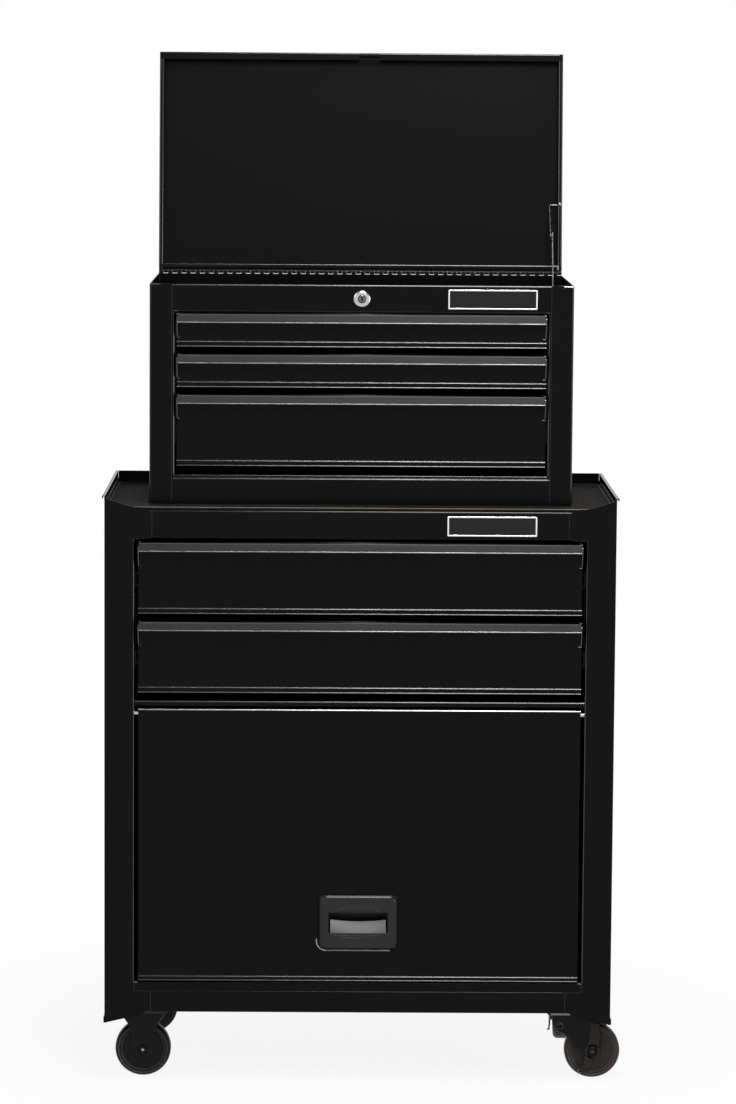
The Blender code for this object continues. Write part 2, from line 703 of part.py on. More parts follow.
def cabinet_side(name, side):
    """A side of the cabinet with its post, rim, skirt and returns."""
    wall = side_box(
        side, CABINET_HALF - SHEET, CABINET_HALF, 0, CABINET_DEPTH, SKIRT_BOTTOM, RIM_TOP
    )
    post = slab(mirrored(cabinet_post_outline(), side), "Y", 0, SHEET)
    inner_return = side_box(
        side, CABINET_OPENING, CABINET_OPENING + SHEET, 0, POST_RETURN,
        SILL_TOP + GAP, HEADER_BOTTOM - GAP,
    )
    rear_return = side_box(
        side, CABINET_HALF - REAR_RETURN, CABINET_HALF - LAP,
        CABINET_RETURN_Y, CABINET_RETURN_Y + SHEET,
        CABINET_BASE + SHEET + GAP, CABINET_TOP,
    )
    middle = SHEET / 2
    rim_line = [
        (CABINET_HALF - middle, RIM_TOP - middle),
        (CABINET_HALF + HEM_WIDTH - middle, RIM_TOP - middle),
        (CABINET_HALF + HEM_WIDTH - middle, RIM_TOP - HEM_DROP),
    ]
    rim = folded(mirrored(rim_line, side), "Y", 0, CABINET_DEPTH)
    skirt = side_box(
        side, CABINET_HALF - LAP, CABINET_HALF + SKIRT_HEM_WIDTH, 0, CABINET_DEPTH,
        SKIRT_BOTTOM, SKIRT_BOTTOM + SKIRT_HEM_HEIGHT,
    )
    low, high = sorted((side * (CABINET_OPENING - OVERRUN), side * (CABINET_OPENING + SHEET + OVERRUN)))
    pin_hole = disc((DOOR_PIVOT.y, DOOR_PIVOT.z), DOOR_PIN_RADIUS + GAP, "X", low, high)
    piece(
        name, "black_enamel", wall,
        joins=[post, inner_return, rear_return, rim, skirt], cuts=[pin_hole],
    )


def make_cabinet_shell():
    """The fixed sheets of the cabinet."""
    cabinet_side("cabinet_side_left", -1)
    cabinet_side("cabinet_side_right", 1)
    inner = CABINET_INNER
    middle = SHEET / 2
    back_line = [
        (CABINET_DEPTH - middle, CABINET_BASE),
        (CABINET_DEPTH - middle, RIM_TOP - middle),
        (CABINET_DEPTH - BACK_HEM, RIM_TOP - middle),
    ]
    piece("cabinet_back", "black_enamel", folded(back_line, "X", -inner, inner))
    face_back = CABINET_FACE + SHEET + GAP
    bottom = box(-inner, inner, face_back, CABINET_BACK_IN - GAP, CABINET_BASE, CABINET_BASE + SHEET)
    piece("cabinet_bottom", "black_enamel", bottom)
    header_line = [
        (CABINET_FACE + HEADER_BOTTOM_FLANGE, HEADER_BOTTOM + middle),
        (CABINET_FACE + middle, HEADER_BOTTOM + middle),
        (CABINET_FACE + middle, CABINET_TOP - middle),
        (CABINET_FACE + HEADER_TOP_FLANGE, CABINET_TOP - middle),
    ]
    piece("cabinet_header", "black_enamel", folded(header_line, "X", -inner, inner))
    sill_line = [
        (CABINET_FACE + middle, CABINET_BASE),
        (CABINET_FACE + middle, SILL_TOP - middle),
        (CABINET_FACE + SILL_FLANGE, SILL_TOP - middle),
    ]
    plinth_half = CABINET_OPENING - GUSSET_REACH - GAP
    plinth = box(
        -plinth_half, plinth_half, CABINET_FACE - PLINTH_PROUD, CABINET_FACE + LAP,
        CABINET_BASE, PLINTH_TOP,
    )
    sill = folded(sill_line, "X", -inner, inner)
    piece("cabinet_sill", "black_enamel", sill, joins=[plinth])
    tray_back = CABINET_BACK_IN - GAP
    tray_top = TRAY_BASE + SHEET + TRAY_UPTURN
    upturns = [
        side_box(1, inner - SHEET, inner, face_back, tray_back, TRAY_BASE, tray_top),
        side_box(-1, inner - SHEET, inner, face_back, tray_back, TRAY_BASE, tray_top),
        box(-inner, inner, tray_back - SHEET, tray_back, TRAY_BASE, tray_top),
    ]
    floor = box(-inner, inner, face_back, tray_back, TRAY_BASE, TRAY_BASE + SHEET)
    piece("cabinet_top", "black_enamel", floor, joins=upturns)
    mat_half = inner - SHEET - GAP
    mat_outline = rounded_rectangle(
        -mat_half, mat_half, face_back, tray_back - SHEET - GAP, MAT_CORNER
    )
    piece("top_mat", "rubber_mat", slab(mat_outline, "Z", MAT_BASE, MAT_TOP))
    divider_line = [
        (CABINET_FACE + middle, DIVIDER_Z - DIVIDER_HEIGHT),
        (CABINET_FACE + middle, DIVIDER_Z - middle),
        (CABINET_FACE + DIVIDER_DEPTH, DIVIDER_Z - middle),
    ]
    divider_half = CABINET_OPENING - GAP
    divider = folded(divider_line, "X", -divider_half, divider_half)
    piece("cabinet_divider", "black_enamel", divider)


def make_chest_shell():
    """The fixed sheets of the chest."""
    inner = CHEST_INNER
    middle = SHEET / 2
    for name, side in (("chest_side_left", -1), ("chest_side_right", 1)):
        side_line = [
            (CHEST_OPENING, CHEST_SETBACK + middle),
            (CHEST_HALF - middle, CHEST_SETBACK + middle),
            (CHEST_HALF - middle, CHEST_RETURN_Y + middle),
            (CHEST_HALF - CHEST_REAR_RETURN, CHEST_RETURN_Y + middle),
        ]
        piece(name, "black_enamel", folded(mirrored(side_line, side), "Z", CHEST_BASE, CHEST_TOP))
    face_back = CHEST_FACE + SHEET + GAP
    floor_back = CHEST_RETURN_Y - GAP
    back = box(-CHEST_HALF, CHEST_HALF, CHEST_BACK - SHEET, CHEST_BACK, CHEST_BASE, CHEST_TOP)
    piece("chest_back", "black_enamel", back)
    bottom = box(-inner, inner, face_back, floor_back, CHEST_BASE, CHEST_BASE + SHEET)
    piece("chest_bottom", "black_enamel", bottom)
    till = box(-inner, inner, face_back, floor_back, TILL_Z, TILL_Z + SHEET)
    piece("chest_till_floor", "black_enamel", till)
    header_line = [
        (CHEST_FACE + CHEST_HEADER_FLANGE, CHEST_HEADER_BOTTOM + middle),
        (CHEST_FACE + middle, CHEST_HEADER_BOTTOM + middle),
        (CHEST_FACE + middle, CHEST_TOP - middle),
        (CHEST_FACE + CHEST_HEADER_FLANGE, CHEST_TOP - middle),
    ]
    header = folded(header_line, "X", -inner, inner)
    lock_hole = disc(
        (LOCK.x, LOCK.z), LOCK_BARREL_RADIUS + GAP, "Y",
        CHEST_FACE - OVERRUN, CHEST_FACE + SHEET + OVERRUN, 20,
    )
    reach = math.hypot(CAM_FINGER_HIGH, CAM_FINGER_LEFT)
    flange_low = LOCK_BELOW_TOP - SHEET
    cam_slot = box(
        LOCK.x + CAM_ARM_LEFT - CAM_SLOT_PLAY,
        LOCK.x + math.sqrt(reach**2 - flange_low**2) + CAM_SLOT_PLAY,
        CAM_Y - GAP, CAM_Y + CAM_SHEET + GAP, CHEST_TOP - SHEET - OVERRUN, CHEST_TOP + OVERRUN,
    )
    piece("chest_header", "black_enamel", header, cuts=[lock_hole, cam_slot])
    step_back = CHEST_FACE + CHEST_SILL_STEP
    step_top = CHEST_SILL_TOP + CHEST_SILL_RISE
    sill_line = [
        (CHEST_FACE + middle, CHEST_BASE),
        (CHEST_FACE + middle, CHEST_SILL_TOP - middle),
        (step_back + middle, CHEST_SILL_TOP - middle),
        (step_back + middle, step_top - middle),
        (CHEST_FACE + CHEST_HEADER_FLANGE, step_top - middle),
    ]
    piece("chest_sill", "black_enamel", folded(sill_line, "X", -inner, inner))


def front_profile(face, top, bottom):
    """Section of a drawer front or door: a sheet with two small steps out at its foot."""
    ledge = bottom + HEM_HEIGHT + LEDGE_HEIGHT
    hem = bottom + HEM_HEIGHT
    return [
        (face, top),
        (face, ledge),
        (face - LEDGE_STEP, ledge),
        (face - LEDGE_STEP, hem),
        (face - LEDGE_STEP - HEM_STEP, hem),
        (face - LEDGE_STEP - HEM_STEP, bottom),
        (face + SHEET, bottom),
        (face + SHEET, top),
    ]


def ear_profile(face, top):
    """The ear that closes the end of a pull and tapers back to the face under it."""
    band = top - PULL_HEIGHT
    return [
        (face + LAP, top - FRONT_TOP_DROP),
        (face - PULL_REACH, top - FRONT_TOP_DROP - PULL_TILT),
        (face - PULL_REACH - PULL_TILT, band),
        (face + LAP, band - EAR_TAPER),
    ]


def pull_line(face, top):
    """Middle line of a full-width pull: flange, hood, hanging band and its lip."""
    middle = PULL_SHEET / 2
    back = face - GAP - middle
    return [
        (back, top - PULL_FLANGE),
        (back, top - middle),
        (face - PULL_REACH + middle, top - PULL_TILT - middle),
        (face - PULL_REACH - PULL_TILT + middle, top - PULL_HEIGHT + middle),
        (face - PULL_REACH - PULL_TILT + middle + PULL_LIP, top - PULL_HEIGHT + middle),
    ]


def rail_height(top, bottom):
    """Height of the middle of a drawer's runners."""
    return (top - BOX_TOP_DROP + bottom + BOX_BOTTOM_RISE) / 2


def drawer(name, face, half, rail_inner, back, top, bottom):
    """A drawer: its front, pan and runners in one piece, and its pull."""
    front_top = top - FRONT_TOP_DROP
    front = slab(front_profile(face, front_top, bottom), "X", -half, half)
    pan_half = rail_inner - BOX_SIDE_PLAY
    pan_low = bottom + BOX_BOTTOM_RISE
    pan_top = top - BOX_TOP_DROP
    pan = box(-pan_half, pan_half, face + LAP, back, pan_low, pan_top)
    hollow = box(
        -pan_half + SHEET, pan_half - SHEET, face + SHEET, back - SHEET,
        pan_low + SHEET, top + OVERRUN,
    )
    middle = rail_height(top, bottom)
    runner_half = RAIL_HEIGHT / 2 - RAIL_SHEET - GAP
    runner_out = rail_inner + RAIL_WIDTH - RAIL_SHEET - GAP
    runner_front = face + SHEET + RAIL_SETBACK
    joins = [pan]
    for side in (-1, 1):
        joins.append(side_box(
            side, pan_half - LAP, runner_out, runner_front, back,
            middle - runner_half, middle + runner_half,
        ))
        joins.append(side_slab(side, ear_profile(face, top), half - SHEET, half))
    body = piece(
        name, "black_enamel", front, joins=joins, cuts=[hollow], pivot=(0, face, middle)
    )
    pull_half = half - SHEET - GAP
    pull = folded(pull_line(face, top), "X", -pull_half, pull_half, PULL_SHEET)
    pull.transform(Matrix.Translation((0, -face, -middle)))
    piece(f"{name}_pull", "grey_pull", pull, parent=body)


def slide_frame(name, side, rail_inner, wall, face, rear, bracket_y, spans):
    """The welded rails of one side: a channel for each drawer on two uprights."""
    rail_outer = rail_inner + RAIL_WIDTH
    start = face + SHEET + RAIL_SETBACK
    middle = RAIL_SHEET / 2
    rails = []
    for top, bottom in spans:
        height = rail_height(top, bottom)
        low = height - RAIL_HEIGHT / 2 + middle
        high = height + RAIL_HEIGHT / 2 - middle
        line = [
            (rail_inner, low), (rail_outer - middle, low),
            (rail_outer - middle, high), (rail_inner, high),
        ]
        rails.append(folded(mirrored(line, side), "Y", start, rear, RAIL_SHEET))
    base = rail_height(*spans[-1]) - RAIL_HEIGHT / 2 - BRACKET_OVERHANG
    crest = rail_height(*spans[0]) + RAIL_HEIGHT / 2 + BRACKET_OVERHANG
    uprights = [
        side_box(side, rail_outer - RAIL_SHEET, wall, y, y + BRACKET_SHEET, base, crest)
        for y in (bracket_y, rear - BRACKET_SHEET)
    ]
    piece(name, "dark_steel", rails[0], joins=rails[1:] + uprights)


def stack(first, heights):
    """Top and bottom of each drawer front, from the first one's top down."""
    spans = []
    top = first
    for height in heights:
        spans.append((top, top - height))
        top -= height + DRAWER_SPACE
    return spans


def make_drawers():
    """Three drawers in the chest and two in the cabinet, with their slide frames."""
    spans = stack(CHEST_FIRST_TOP, CHEST_DRAWER_HEIGHTS)
    rail_inner = CHEST_OPENING - GAP - RAIL_WIDTH
    back = CHEST_BACK - BOX_BACK_SPACE
    for number, (top, bottom) in enumerate(spans, 1):
        drawer(
            f"chest_drawer_{number}", CHEST_FACE, CHEST_FRONT_HALF, rail_inner, back, top, bottom
        )
    start = CHEST_FACE + SHEET + RAIL_SETBACK
    for name, side in (("chest_slides_left", -1), ("chest_slides_right", 1)):
        slide_frame(
            name, side, rail_inner, CHEST_INNER, CHEST_FACE, CHEST_RETURN_Y - GAP, start, spans
        )
    spans = stack(CABINET_FIRST_TOP, CABINET_DRAWER_HEIGHTS)
    rail_inner = CABINET_OPENING - GAP - RAIL_WIDTH
    back = CABINET_DEPTH - BOX_BACK_SPACE
    for number, (top, bottom) in enumerate(spans, 1):
        drawer(
            f"cabinet_drawer_{number}", CABINET_FACE, CABINET_FRONT_HALF, rail_inner, back,
            top, bottom,
        )
    for name, side in (("cabinet_slides_left", -1), ("cabinet_slides_right", 1)):
        slide_frame(
            name, side, rail_inner, CABINET_INNER, CABINET_FACE, CABINET_RETURN_Y - GAP,
            POST_RETURN + GAP, spans,
        )


def make_door():
    """The door that hangs on two pins at its top corners, and its cup pull."""
    half = CABINET_FRONT_HALF
    face = CABINET_FACE
    front = slab(front_profile(face, DOOR_TOP, DOOR_BOTTOM), "X", -half, half)
    pan = box(-half, half, face + LAP, face + DOOR_RETURN, DOOR_BOTTOM, DOOR_TOP)
    hollow = box(
        -half + SHEET, half - SHEET, face + SHEET, face + DOOR_RETURN + OVERRUN,
        DOOR_BOTTOM + SHEET, DOOR_TOP - SHEET,
    )
    mouth_low = DOOR_BOTTOM + CUP_BEZEL_BASE + CUP_MOUTH_BASE
    mouth_high = mouth_low + CUP_MOUTH_HEIGHT
    cup_half = CUP_MOUTH_WIDTH / 2 + CUP_WALL
    cup_low = mouth_low - CUP_WALL
    cup_high = mouth_high + CUP_HOOK_RISE + CUP_WALL
    cup_back = face + CUP_DEPTH + CUP_WALL
    window = box(
        -cup_half - GAP, cup_half + GAP, face - OVERRUN, face + SHEET + OVERRUN,
        cup_low - GAP, cup_high + GAP,
    )
    pin_bore = disc(
        (DOOR_PIVOT.y, DOOR_PIVOT.z), DOOR_PIN_RADIUS + GAP, "X", -half - OVERRUN, half + OVERRUN
    )
    door = piece(
        "door", "black_enamel", front, joins=[pan], cuts=[hollow, window, pin_bore],
        pivot=DOOR_PIVOT,
    )
    bezel_low = DOOR_BOTTOM + CUP_BEZEL_BASE
    bezel_half = CUP_BEZEL_WIDTH / 2
    bezel = slab(
        rounded_rectangle(
            -bezel_half, bezel_half, bezel_low, bezel_low + CUP_BEZEL_HEIGHT, CUP_BEZEL_CORNER
        ),
        "Y", face - CUP_BEZEL_PROUD, face - GAP,
    )
    cup = box(-cup_half, cup_half, face - GAP - LAP, cup_back, cup_low, cup_high)
    hook = mouth_high + CUP_HOOK_RISE
    cavity = slab(
        [
            (face - CUP_BEZEL_PROUD - OVERRUN, mouth_low),
            (face, mouth_low),
            (face + CUP_DEPTH, mouth_low + CUP_SLOPE_RISE),
            (face + CUP_DEPTH, hook),
            (face + CUP_WALL, hook),
            (face + CUP_WALL, mouth_high),
            (face - CUP_BEZEL_PROUD - OVERRUN, mouth_high),
        ],
        "X", -CUP_MOUTH_WIDTH / 2, CUP_MOUTH_WIDTH / 2,
    )
    for shape in (bezel, cup, cavity):
        shape.transform(Matrix.Translation(-DOOR_PIVOT))
    piece("door_pull", "cup_plastic", bezel, joins=[cup], cuts=[cavity], parent=door)
    for name, side in (("door_pin_left", -1), ("door_pin_right", 1)):
        seat = side * (CABINET_OPENING + SHEET + GAP)
        end = side * (half - DOOR_PIN_END)
        head = seat + side * DOOR_PIN_HEAD
        profile = [
            (0, end), (DOOR_PIN_RADIUS, end), (DOOR_PIN_RADIUS, seat),
            (DOOR_PIN_HEAD_RADIUS, seat), (DOOR_PIN_HEAD_RADIUS, head), (0, head),
        ]
        pin = turned(profile, "X", (DOOR_PIVOT.y, DOOR_PIVOT.z), 12)
        piece(name, "zinc", pin, pivot=(0, DOOR_PIVOT.y, DOOR_PIVOT.z), smooth=True)


def hinge_tooth(rise):
    """Section of a hinge knuckle with the tab to its leaf, which runs up or down from it."""
    radius = KNUCKLE_RADIUS
    corners = [
        (radius * math.cos(angle), radius * math.sin(angle) * rise)
        for angle in (math.radians(60 * corner) for corner in range(4, 4 + KNUCKLE_SIDES - 1))
    ]
    tab = KNUCKLE_RADIUS - SHEET
    lower_edge = -rise * SHEET * math.tan(math.radians(60))
    foot = -rise * (LEAF_START + LAP)
    local = [(-radius, 0), (-radius, foot), (-tab, foot), (-tab, lower_edge), *corners]
    return [(HINGE.y + y, HINGE.z + z) for y, z in local]


def hinge_leaf(name, rise, first, pivot, turn):
    """A leaf of the continuous hinge: strip, every other knuckle and the bore through them."""
    period = 2 * CHEST_HALF / HINGE_PERIODS
    knuckle = period / 2 - GAP
    face = HINGE.y - KNUCKLE_RADIUS
    near = HINGE.z - rise * LEAF_START
    far = near - rise * LEAF_WIDTH
    strip = box(
        -CHEST_HALF + GAP, CHEST_HALF - GAP, face, face + SHEET, min(near, far), max(near, far)
    )
    start = -CHEST_HALF + GAP + first * period / 2
    teeth = [
        slab(hinge_tooth(rise), "X", start + i * period, start + i * period + knuckle - GAP)
        for i in range(HINGE_PERIODS)
    ]
    row = bmesh.new()
    for tooth in teeth:
        row.from_mesh(tooth)
    joined = bpy.data.meshes.new("teeth")
    row.to_mesh(joined)
    row.free()
    bore = disc(
        (HINGE.y, HINGE.z), BORE_RADIUS, "X", -CHEST_HALF - OVERRUN, CHEST_HALF + OVERRUN,
        KNUCKLE_SIDES,
    )
    piece(name, "dark_steel", strip, joins=[joined], cuts=[bore], pivot=pivot, turn=turn)


def make_lid():
    """The lid, open against its stop, with its hinge. The lid's shapes are laid out shut."""
    half = CHEST_HALF
    shell = box(-half, half, CHEST_SETBACK, CHEST_BACK, LID_BASE, LID_TOP)
    hollow = box(
        -half + SHEET, half - SHEET, CHEST_SETBACK + SHEET, CHEST_BACK - SHEET,
        LID_BASE + SHEET, LID_TOP - SHEET,
    )
    mouth = box(
        -half + LID_SIDE_LIP, half - LID_SIDE_LIP,
        CHEST_SETBACK + LID_FRONT_LIP, CHEST_BACK - LID_REAR_LIP,
        LID_BASE - OVERRUN, LID_BASE + SHEET + OVERRUN,
    )
    strike_x = LOCK.x + STRIKE_OFFSET
    strike_y = CHEST_SETBACK + STRIKE_SETBACK
    strike = box(
        strike_x - STRIKE_WIDTH / 2, strike_x + STRIKE_WIDTH / 2,
        strike_y, strike_y + STRIKE_DEPTH, LID_BASE - OVERRUN, LID_BASE + SHEET + OVERRUN,
    )
    open_turn = (-math.radians(LID_OPEN_ANGLE), 0, 0)
    piece(
        "lid", "black_enamel", shell, cuts=[mouth, strike, hollow], pivot=HINGE, turn=open_turn
    )
    hinge_leaf("lid_hinge_fixed_leaf", 1, 0, (0, 0, 0), None)
    hinge_leaf("lid_hinge_moving_leaf", -1, 1, HINGE, open_turn)
    pin = disc(
        (HINGE.y, HINGE.z), HINGE_PIN_RADIUS, "X", -CHEST_HALF + GAP, CHEST_HALF - GAP,
        HINGE_PIN_SIDES,
    )
    piece("lid_hinge_pin", "zinc", pin, pivot=(0, HINGE.y, HINGE.z))


def stay_rod(name, plane, root, joint, root_reach):
    """One wire of the stay: a foot square to X at its root, a straight run and an eye."""
    run = joint - root
    angle = math.degrees(math.atan2(run.y, run.x))
    eye = arc(
        (joint.x, joint.y), STAY_EYE_RADIUS, angle - STAY_EYE_SWEEP + 180, angle + 180,
        STAY_EYE_STEPS,
    )
    loop = [(plane, y, z) for y, z in eye]
    foot = [(plane, root.x, root.y), (root_reach, root.x, root.y)]
    piece(name, "zinc", wire(loop + foot, STAY_RADIUS), pivot=(plane, root.x, root.y), smooth=True)


def stay_elbow(upper_root, lower_root):
    """Where the eyes of the two wires meet, from the lengths of the wires."""
    upper = STAY_UPPER_LENGTH
    lower = STAY_LOWER_LENGTH
    span = lower_root - upper_root
    distance = span.length
    along = (upper**2 - lower**2 + distance**2) / (2 * distance)
    off = math.sqrt(max(upper**2 - along**2, 0))
    unit = span / distance
    return upper_root + unit * along + Vector((unit.y, -unit.x)) * off


def make_stay():
    """The folding wire stay between the lid's right flange and the chest's right side."""
    hinge = Vector((HINGE.y, HINGE.z))
    turn = math.radians(LID_OPEN_ANGLE)
    shut = Vector((-STAY_LID_REACH, STAY_LID_RISE))
    opened = Vector((
        shut.x * math.cos(turn) + shut.y * math.sin(turn),
        -shut.x * math.sin(turn) + shut.y * math.cos(turn),
    ))
    upper_root = hinge + opened
    lower_root = hinge - Vector((STAY_CHEST_REACH, STAY_CHEST_DROP))
    elbow = stay_elbow(upper_root, lower_root)
    reach = CHEST_HALF - SHEET - GAP
    upper_plane = CHEST_HALF - SHEET - STAY_UPPER_INSET
    lower_plane = CHEST_HALF - SHEET - STAY_LOWER_INSET
    stay_rod("lid_stay_upper_rod", upper_plane, upper_root, elbow, reach)
    stay_rod("lid_stay_lower_rod", lower_plane, lower_root, elbow, reach)


def make_lock():
    """The lock in the chest's header: body, plug with its keyway, and the hook behind."""
    front = LOCK.y - GAP - LOCK_FLANGE
    rear = LOCK.y + SHEET + LOCK_BARREL_BACK
    bore = LOCK_PLUG_RADIUS + GAP
    body_profile = [
        (bore, front), (LOCK_FLANGE_RADIUS, front), (LOCK_FLANGE_RADIUS, LOCK.y - GAP),
        (LOCK_BARREL_RADIUS, LOCK.y - GAP), (LOCK_BARREL_RADIUS, rear), (bore, rear),
    ]
    centre = (LOCK.x, LOCK.z)
    body = turned(body_profile, "Y", centre, 20)
    piece("lock_cylinder", "zinc", body, pivot=LOCK, smooth=True)
    nose = front - LOCK_PLUG_PROUD
    tail = CAM_Y + CAM_SHEET + LOCK_TAIL_END
    plug_profile = [
        (0, nose), (LOCK_PLUG_RADIUS, nose), (LOCK_PLUG_RADIUS, rear),
        (LOCK_TAIL_RADIUS, rear), (LOCK_TAIL_RADIUS, tail), (0, tail),
    ]
    keyway = box(
        LOCK.x - KEYWAY_WIDTH / 2, LOCK.x + KEYWAY_WIDTH / 2,
        nose - OVERRUN, nose + KEYWAY_DEPTH, LOCK.z - KEYWAY_HEIGHT / 2, LOCK.z + KEYWAY_HEIGHT / 2,
    )
    plug = turned(plug_profile, "Y", centre, 16)
    piece("lock_plug", "zinc", plug, cuts=[keyway], pivot=LOCK, smooth=True)
    hub = arc((0, 0), CAM_HUB_RADIUS, 180, 180 + CAM_HUB_SWEEP, 8)
    locked = [
        *hub,
        (CAM_ARM_RIGHT, 0),
        (CAM_ARM_RIGHT, CAM_FINGER_HIGH),
        (CAM_FINGER_LEFT, CAM_FINGER_HIGH),
        (CAM_FINGER_LEFT, CAM_FINGER_LOW),
        (CAM_ARM_LEFT, CAM_FINGER_LOW),
        (CAM_ARM_LEFT, CAM_HUB_RADIUS),
        (-CAM_HUB_RADIUS / 2, CAM_HUB_RADIUS),
    ]
    unlocked = [(LOCK.x + z, LOCK.z - x) for x, z in locked]
    tail_hole = ring(centre, LOCK_TAIL_RADIUS + GAP, BORE_SIDES)
    hook = slab(unlocked, "Y", CAM_Y, CAM_Y + CAM_SHEET, [tail_hole])
    piece("lock_cam", "zinc", hook, pivot=LOCK)


def centre_on_footprint():
    """Move the frame so that the middle of the whole object's footprint is the origin."""
    bpy.context.view_layer.update()
    graph = bpy.context.evaluated_depsgraph_get()
    corners = []
    for item in PARTS.objects:
        if item.type == "MESH":
            solid = item.evaluated_get(graph)
            mesh = solid.to_mesh()
            corners += [solid.matrix_world @ vert.co for vert in mesh.vertices]
            solid.to_mesh_clear()
    for axis in (0, 1):
        low = min(corner[axis] for corner in corners)
        high = max(corner[axis] for corner in corners)
        FRAME.location[axis] = -(low + high) / 2
    bpy.context.view_layer.update()


def main():
    """Build the object."""
    make_casters()
    make_cabinet_shell()
    make_chest_shell()
    make_drawers()
    make_door()
    make_lid()
    make_stay()
    make_lock()
    centre_on_footprint()


main()
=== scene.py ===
"""Looks of a tool chest with an open lid on a rolling cabinet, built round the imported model.

Pieces are drawn in millimetres in the cabinet's own frame: X = 0 is its middle, Y = 0 the
front of its posts with +Y to the back, and Z = 0 the floor. make_piece takes a drawing into
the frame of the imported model. The drawers and the door are drawn shut. The lid is drawn shut
and turned open.
"""
import logging
import math
from dataclasses import dataclass, field
from enum import Enum
from typing import Callable

import bmesh
import bpy
from mathutils import Matrix, Vector


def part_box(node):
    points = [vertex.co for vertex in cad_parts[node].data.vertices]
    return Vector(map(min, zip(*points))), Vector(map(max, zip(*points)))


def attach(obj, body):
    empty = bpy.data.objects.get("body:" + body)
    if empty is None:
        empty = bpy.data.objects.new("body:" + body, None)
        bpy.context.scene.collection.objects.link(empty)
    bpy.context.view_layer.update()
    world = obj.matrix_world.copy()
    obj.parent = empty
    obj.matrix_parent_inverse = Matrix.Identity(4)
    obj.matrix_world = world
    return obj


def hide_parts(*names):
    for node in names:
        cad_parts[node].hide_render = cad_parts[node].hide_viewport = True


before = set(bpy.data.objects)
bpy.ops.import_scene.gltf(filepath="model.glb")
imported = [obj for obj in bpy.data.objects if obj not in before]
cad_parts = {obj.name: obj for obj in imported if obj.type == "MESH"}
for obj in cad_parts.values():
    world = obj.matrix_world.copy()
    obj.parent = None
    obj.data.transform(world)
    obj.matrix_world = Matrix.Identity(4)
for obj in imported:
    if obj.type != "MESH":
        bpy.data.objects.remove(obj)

LOG = logging.getLogger("tool_chest")
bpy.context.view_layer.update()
MM = 0.001
SHEET = 1.0
GAP = 0.3
ROUND_STEPS = 5
SHARP_ANGLE = math.radians(35)
BEND_STEPS = 2
NARROW = 0.78
# Faces marked in this layer get a lighter, shinier finish: partly scuffed paint, mostly painted highlight on bends
# and edges.
WEAR_AND_HIGHLIGHT_LAYER = "wear_and_highlight"
WEAR_AND_HIGHLIGHT_SHOWS = 0.02
ACROSS_GRAIN = 0.25
WHITE = (1.0, 1.0, 1.0, 1.0)
BLACK = (0.0, 0.0, 0.0, 1.0)
WIRE_TIP = 0.45
RAIL_INSET = 1.3
TOUCH = 0.01
CABINET_FACE = 1.3
CHEST_HALF = 279.4
CHEST_FRONT = 46.0
CHEST_BACK = 346.0
CHEST_FACE = 47.3
LOCK_HEIGHT = 1042.7
CASTER_HALF = 286.8
CASTER_FRONT = 50.0
CASTER_REAR = 305.6

Point = tuple[float, float]
Path = list[Point]


def origin() -> Vector:
    """Place of the drawing frame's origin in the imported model, in metres."""
    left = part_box("cabinet_side_left")[0]
    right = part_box("cabinet_side_right")[1]
    return Vector(((left[0] + right[0]) / 2, left[1], 0.0))


ORIGIN = origin()
TO_PACKED = Matrix.Translation(ORIGIN) @ Matrix.Scale(MM, 4)


def span(node: str) -> tuple[Vector, Vector]:
    """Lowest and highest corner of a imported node, in the drawing frame.

    Args:
        node: name of the node.

    Returns:
        The two corners, in millimetres.
    """
    low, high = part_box(node)
    back = TO_PACKED.inverted()
    return back @ Vector(low), back @ Vector(high)


class Axis(Enum):
    """The direction in which an outline is run out, and how its (u, v, w) are turned there."""

    X = Matrix(((0, 0, 1, 0), (1, 0, 0, 0), (0, 1, 0, 0), (0, 0, 0, 1)))
    Y = Matrix(((1, 0, 0, 0), (0, 0, 1, 0), (0, 1, 0, 0), (0, 0, 0, 1)))
    Z = Matrix.Identity(4)


class WearAndHighlight(Enum):
    """How far a face is lightened and made shiny, from not at all to bare metal: partly scuffed paint, mostly
    painted highlight.
    """

    NONE = 0.0
    TRACE = 0.03
    FAINT = 0.08
    EDGE = 0.2
    SHINY = 0.3
    BRIGHT = 0.48
    BARE = 1.0


def arc(centre: Point, radius: float, start: float, end: float, steps: int) -> Path:
    """Points of an arc, both ends included.

    Args:
        centre: its centre.
        radius: its radius.
        start: first angle in degrees.
        end: last angle in degrees.
        steps: number of chords.

    Returns:
        The points.
    """
    angles = [math.radians(start + (end - start) * i / steps) for i in range(steps + 1)]
    return [(centre[0] + radius * math.cos(a), centre[1] + radius * math.sin(a)) for a in angles]


def ring(centre: Point, radius: float, sides: int) -> Path:
    """Points of a whole circle.

    Args:
        centre: its centre.
        radius: its radius.
        sides: number of points.

    Returns:
        The points.
    """
    return arc(centre, radius, 0, 360, sides)[:-1]


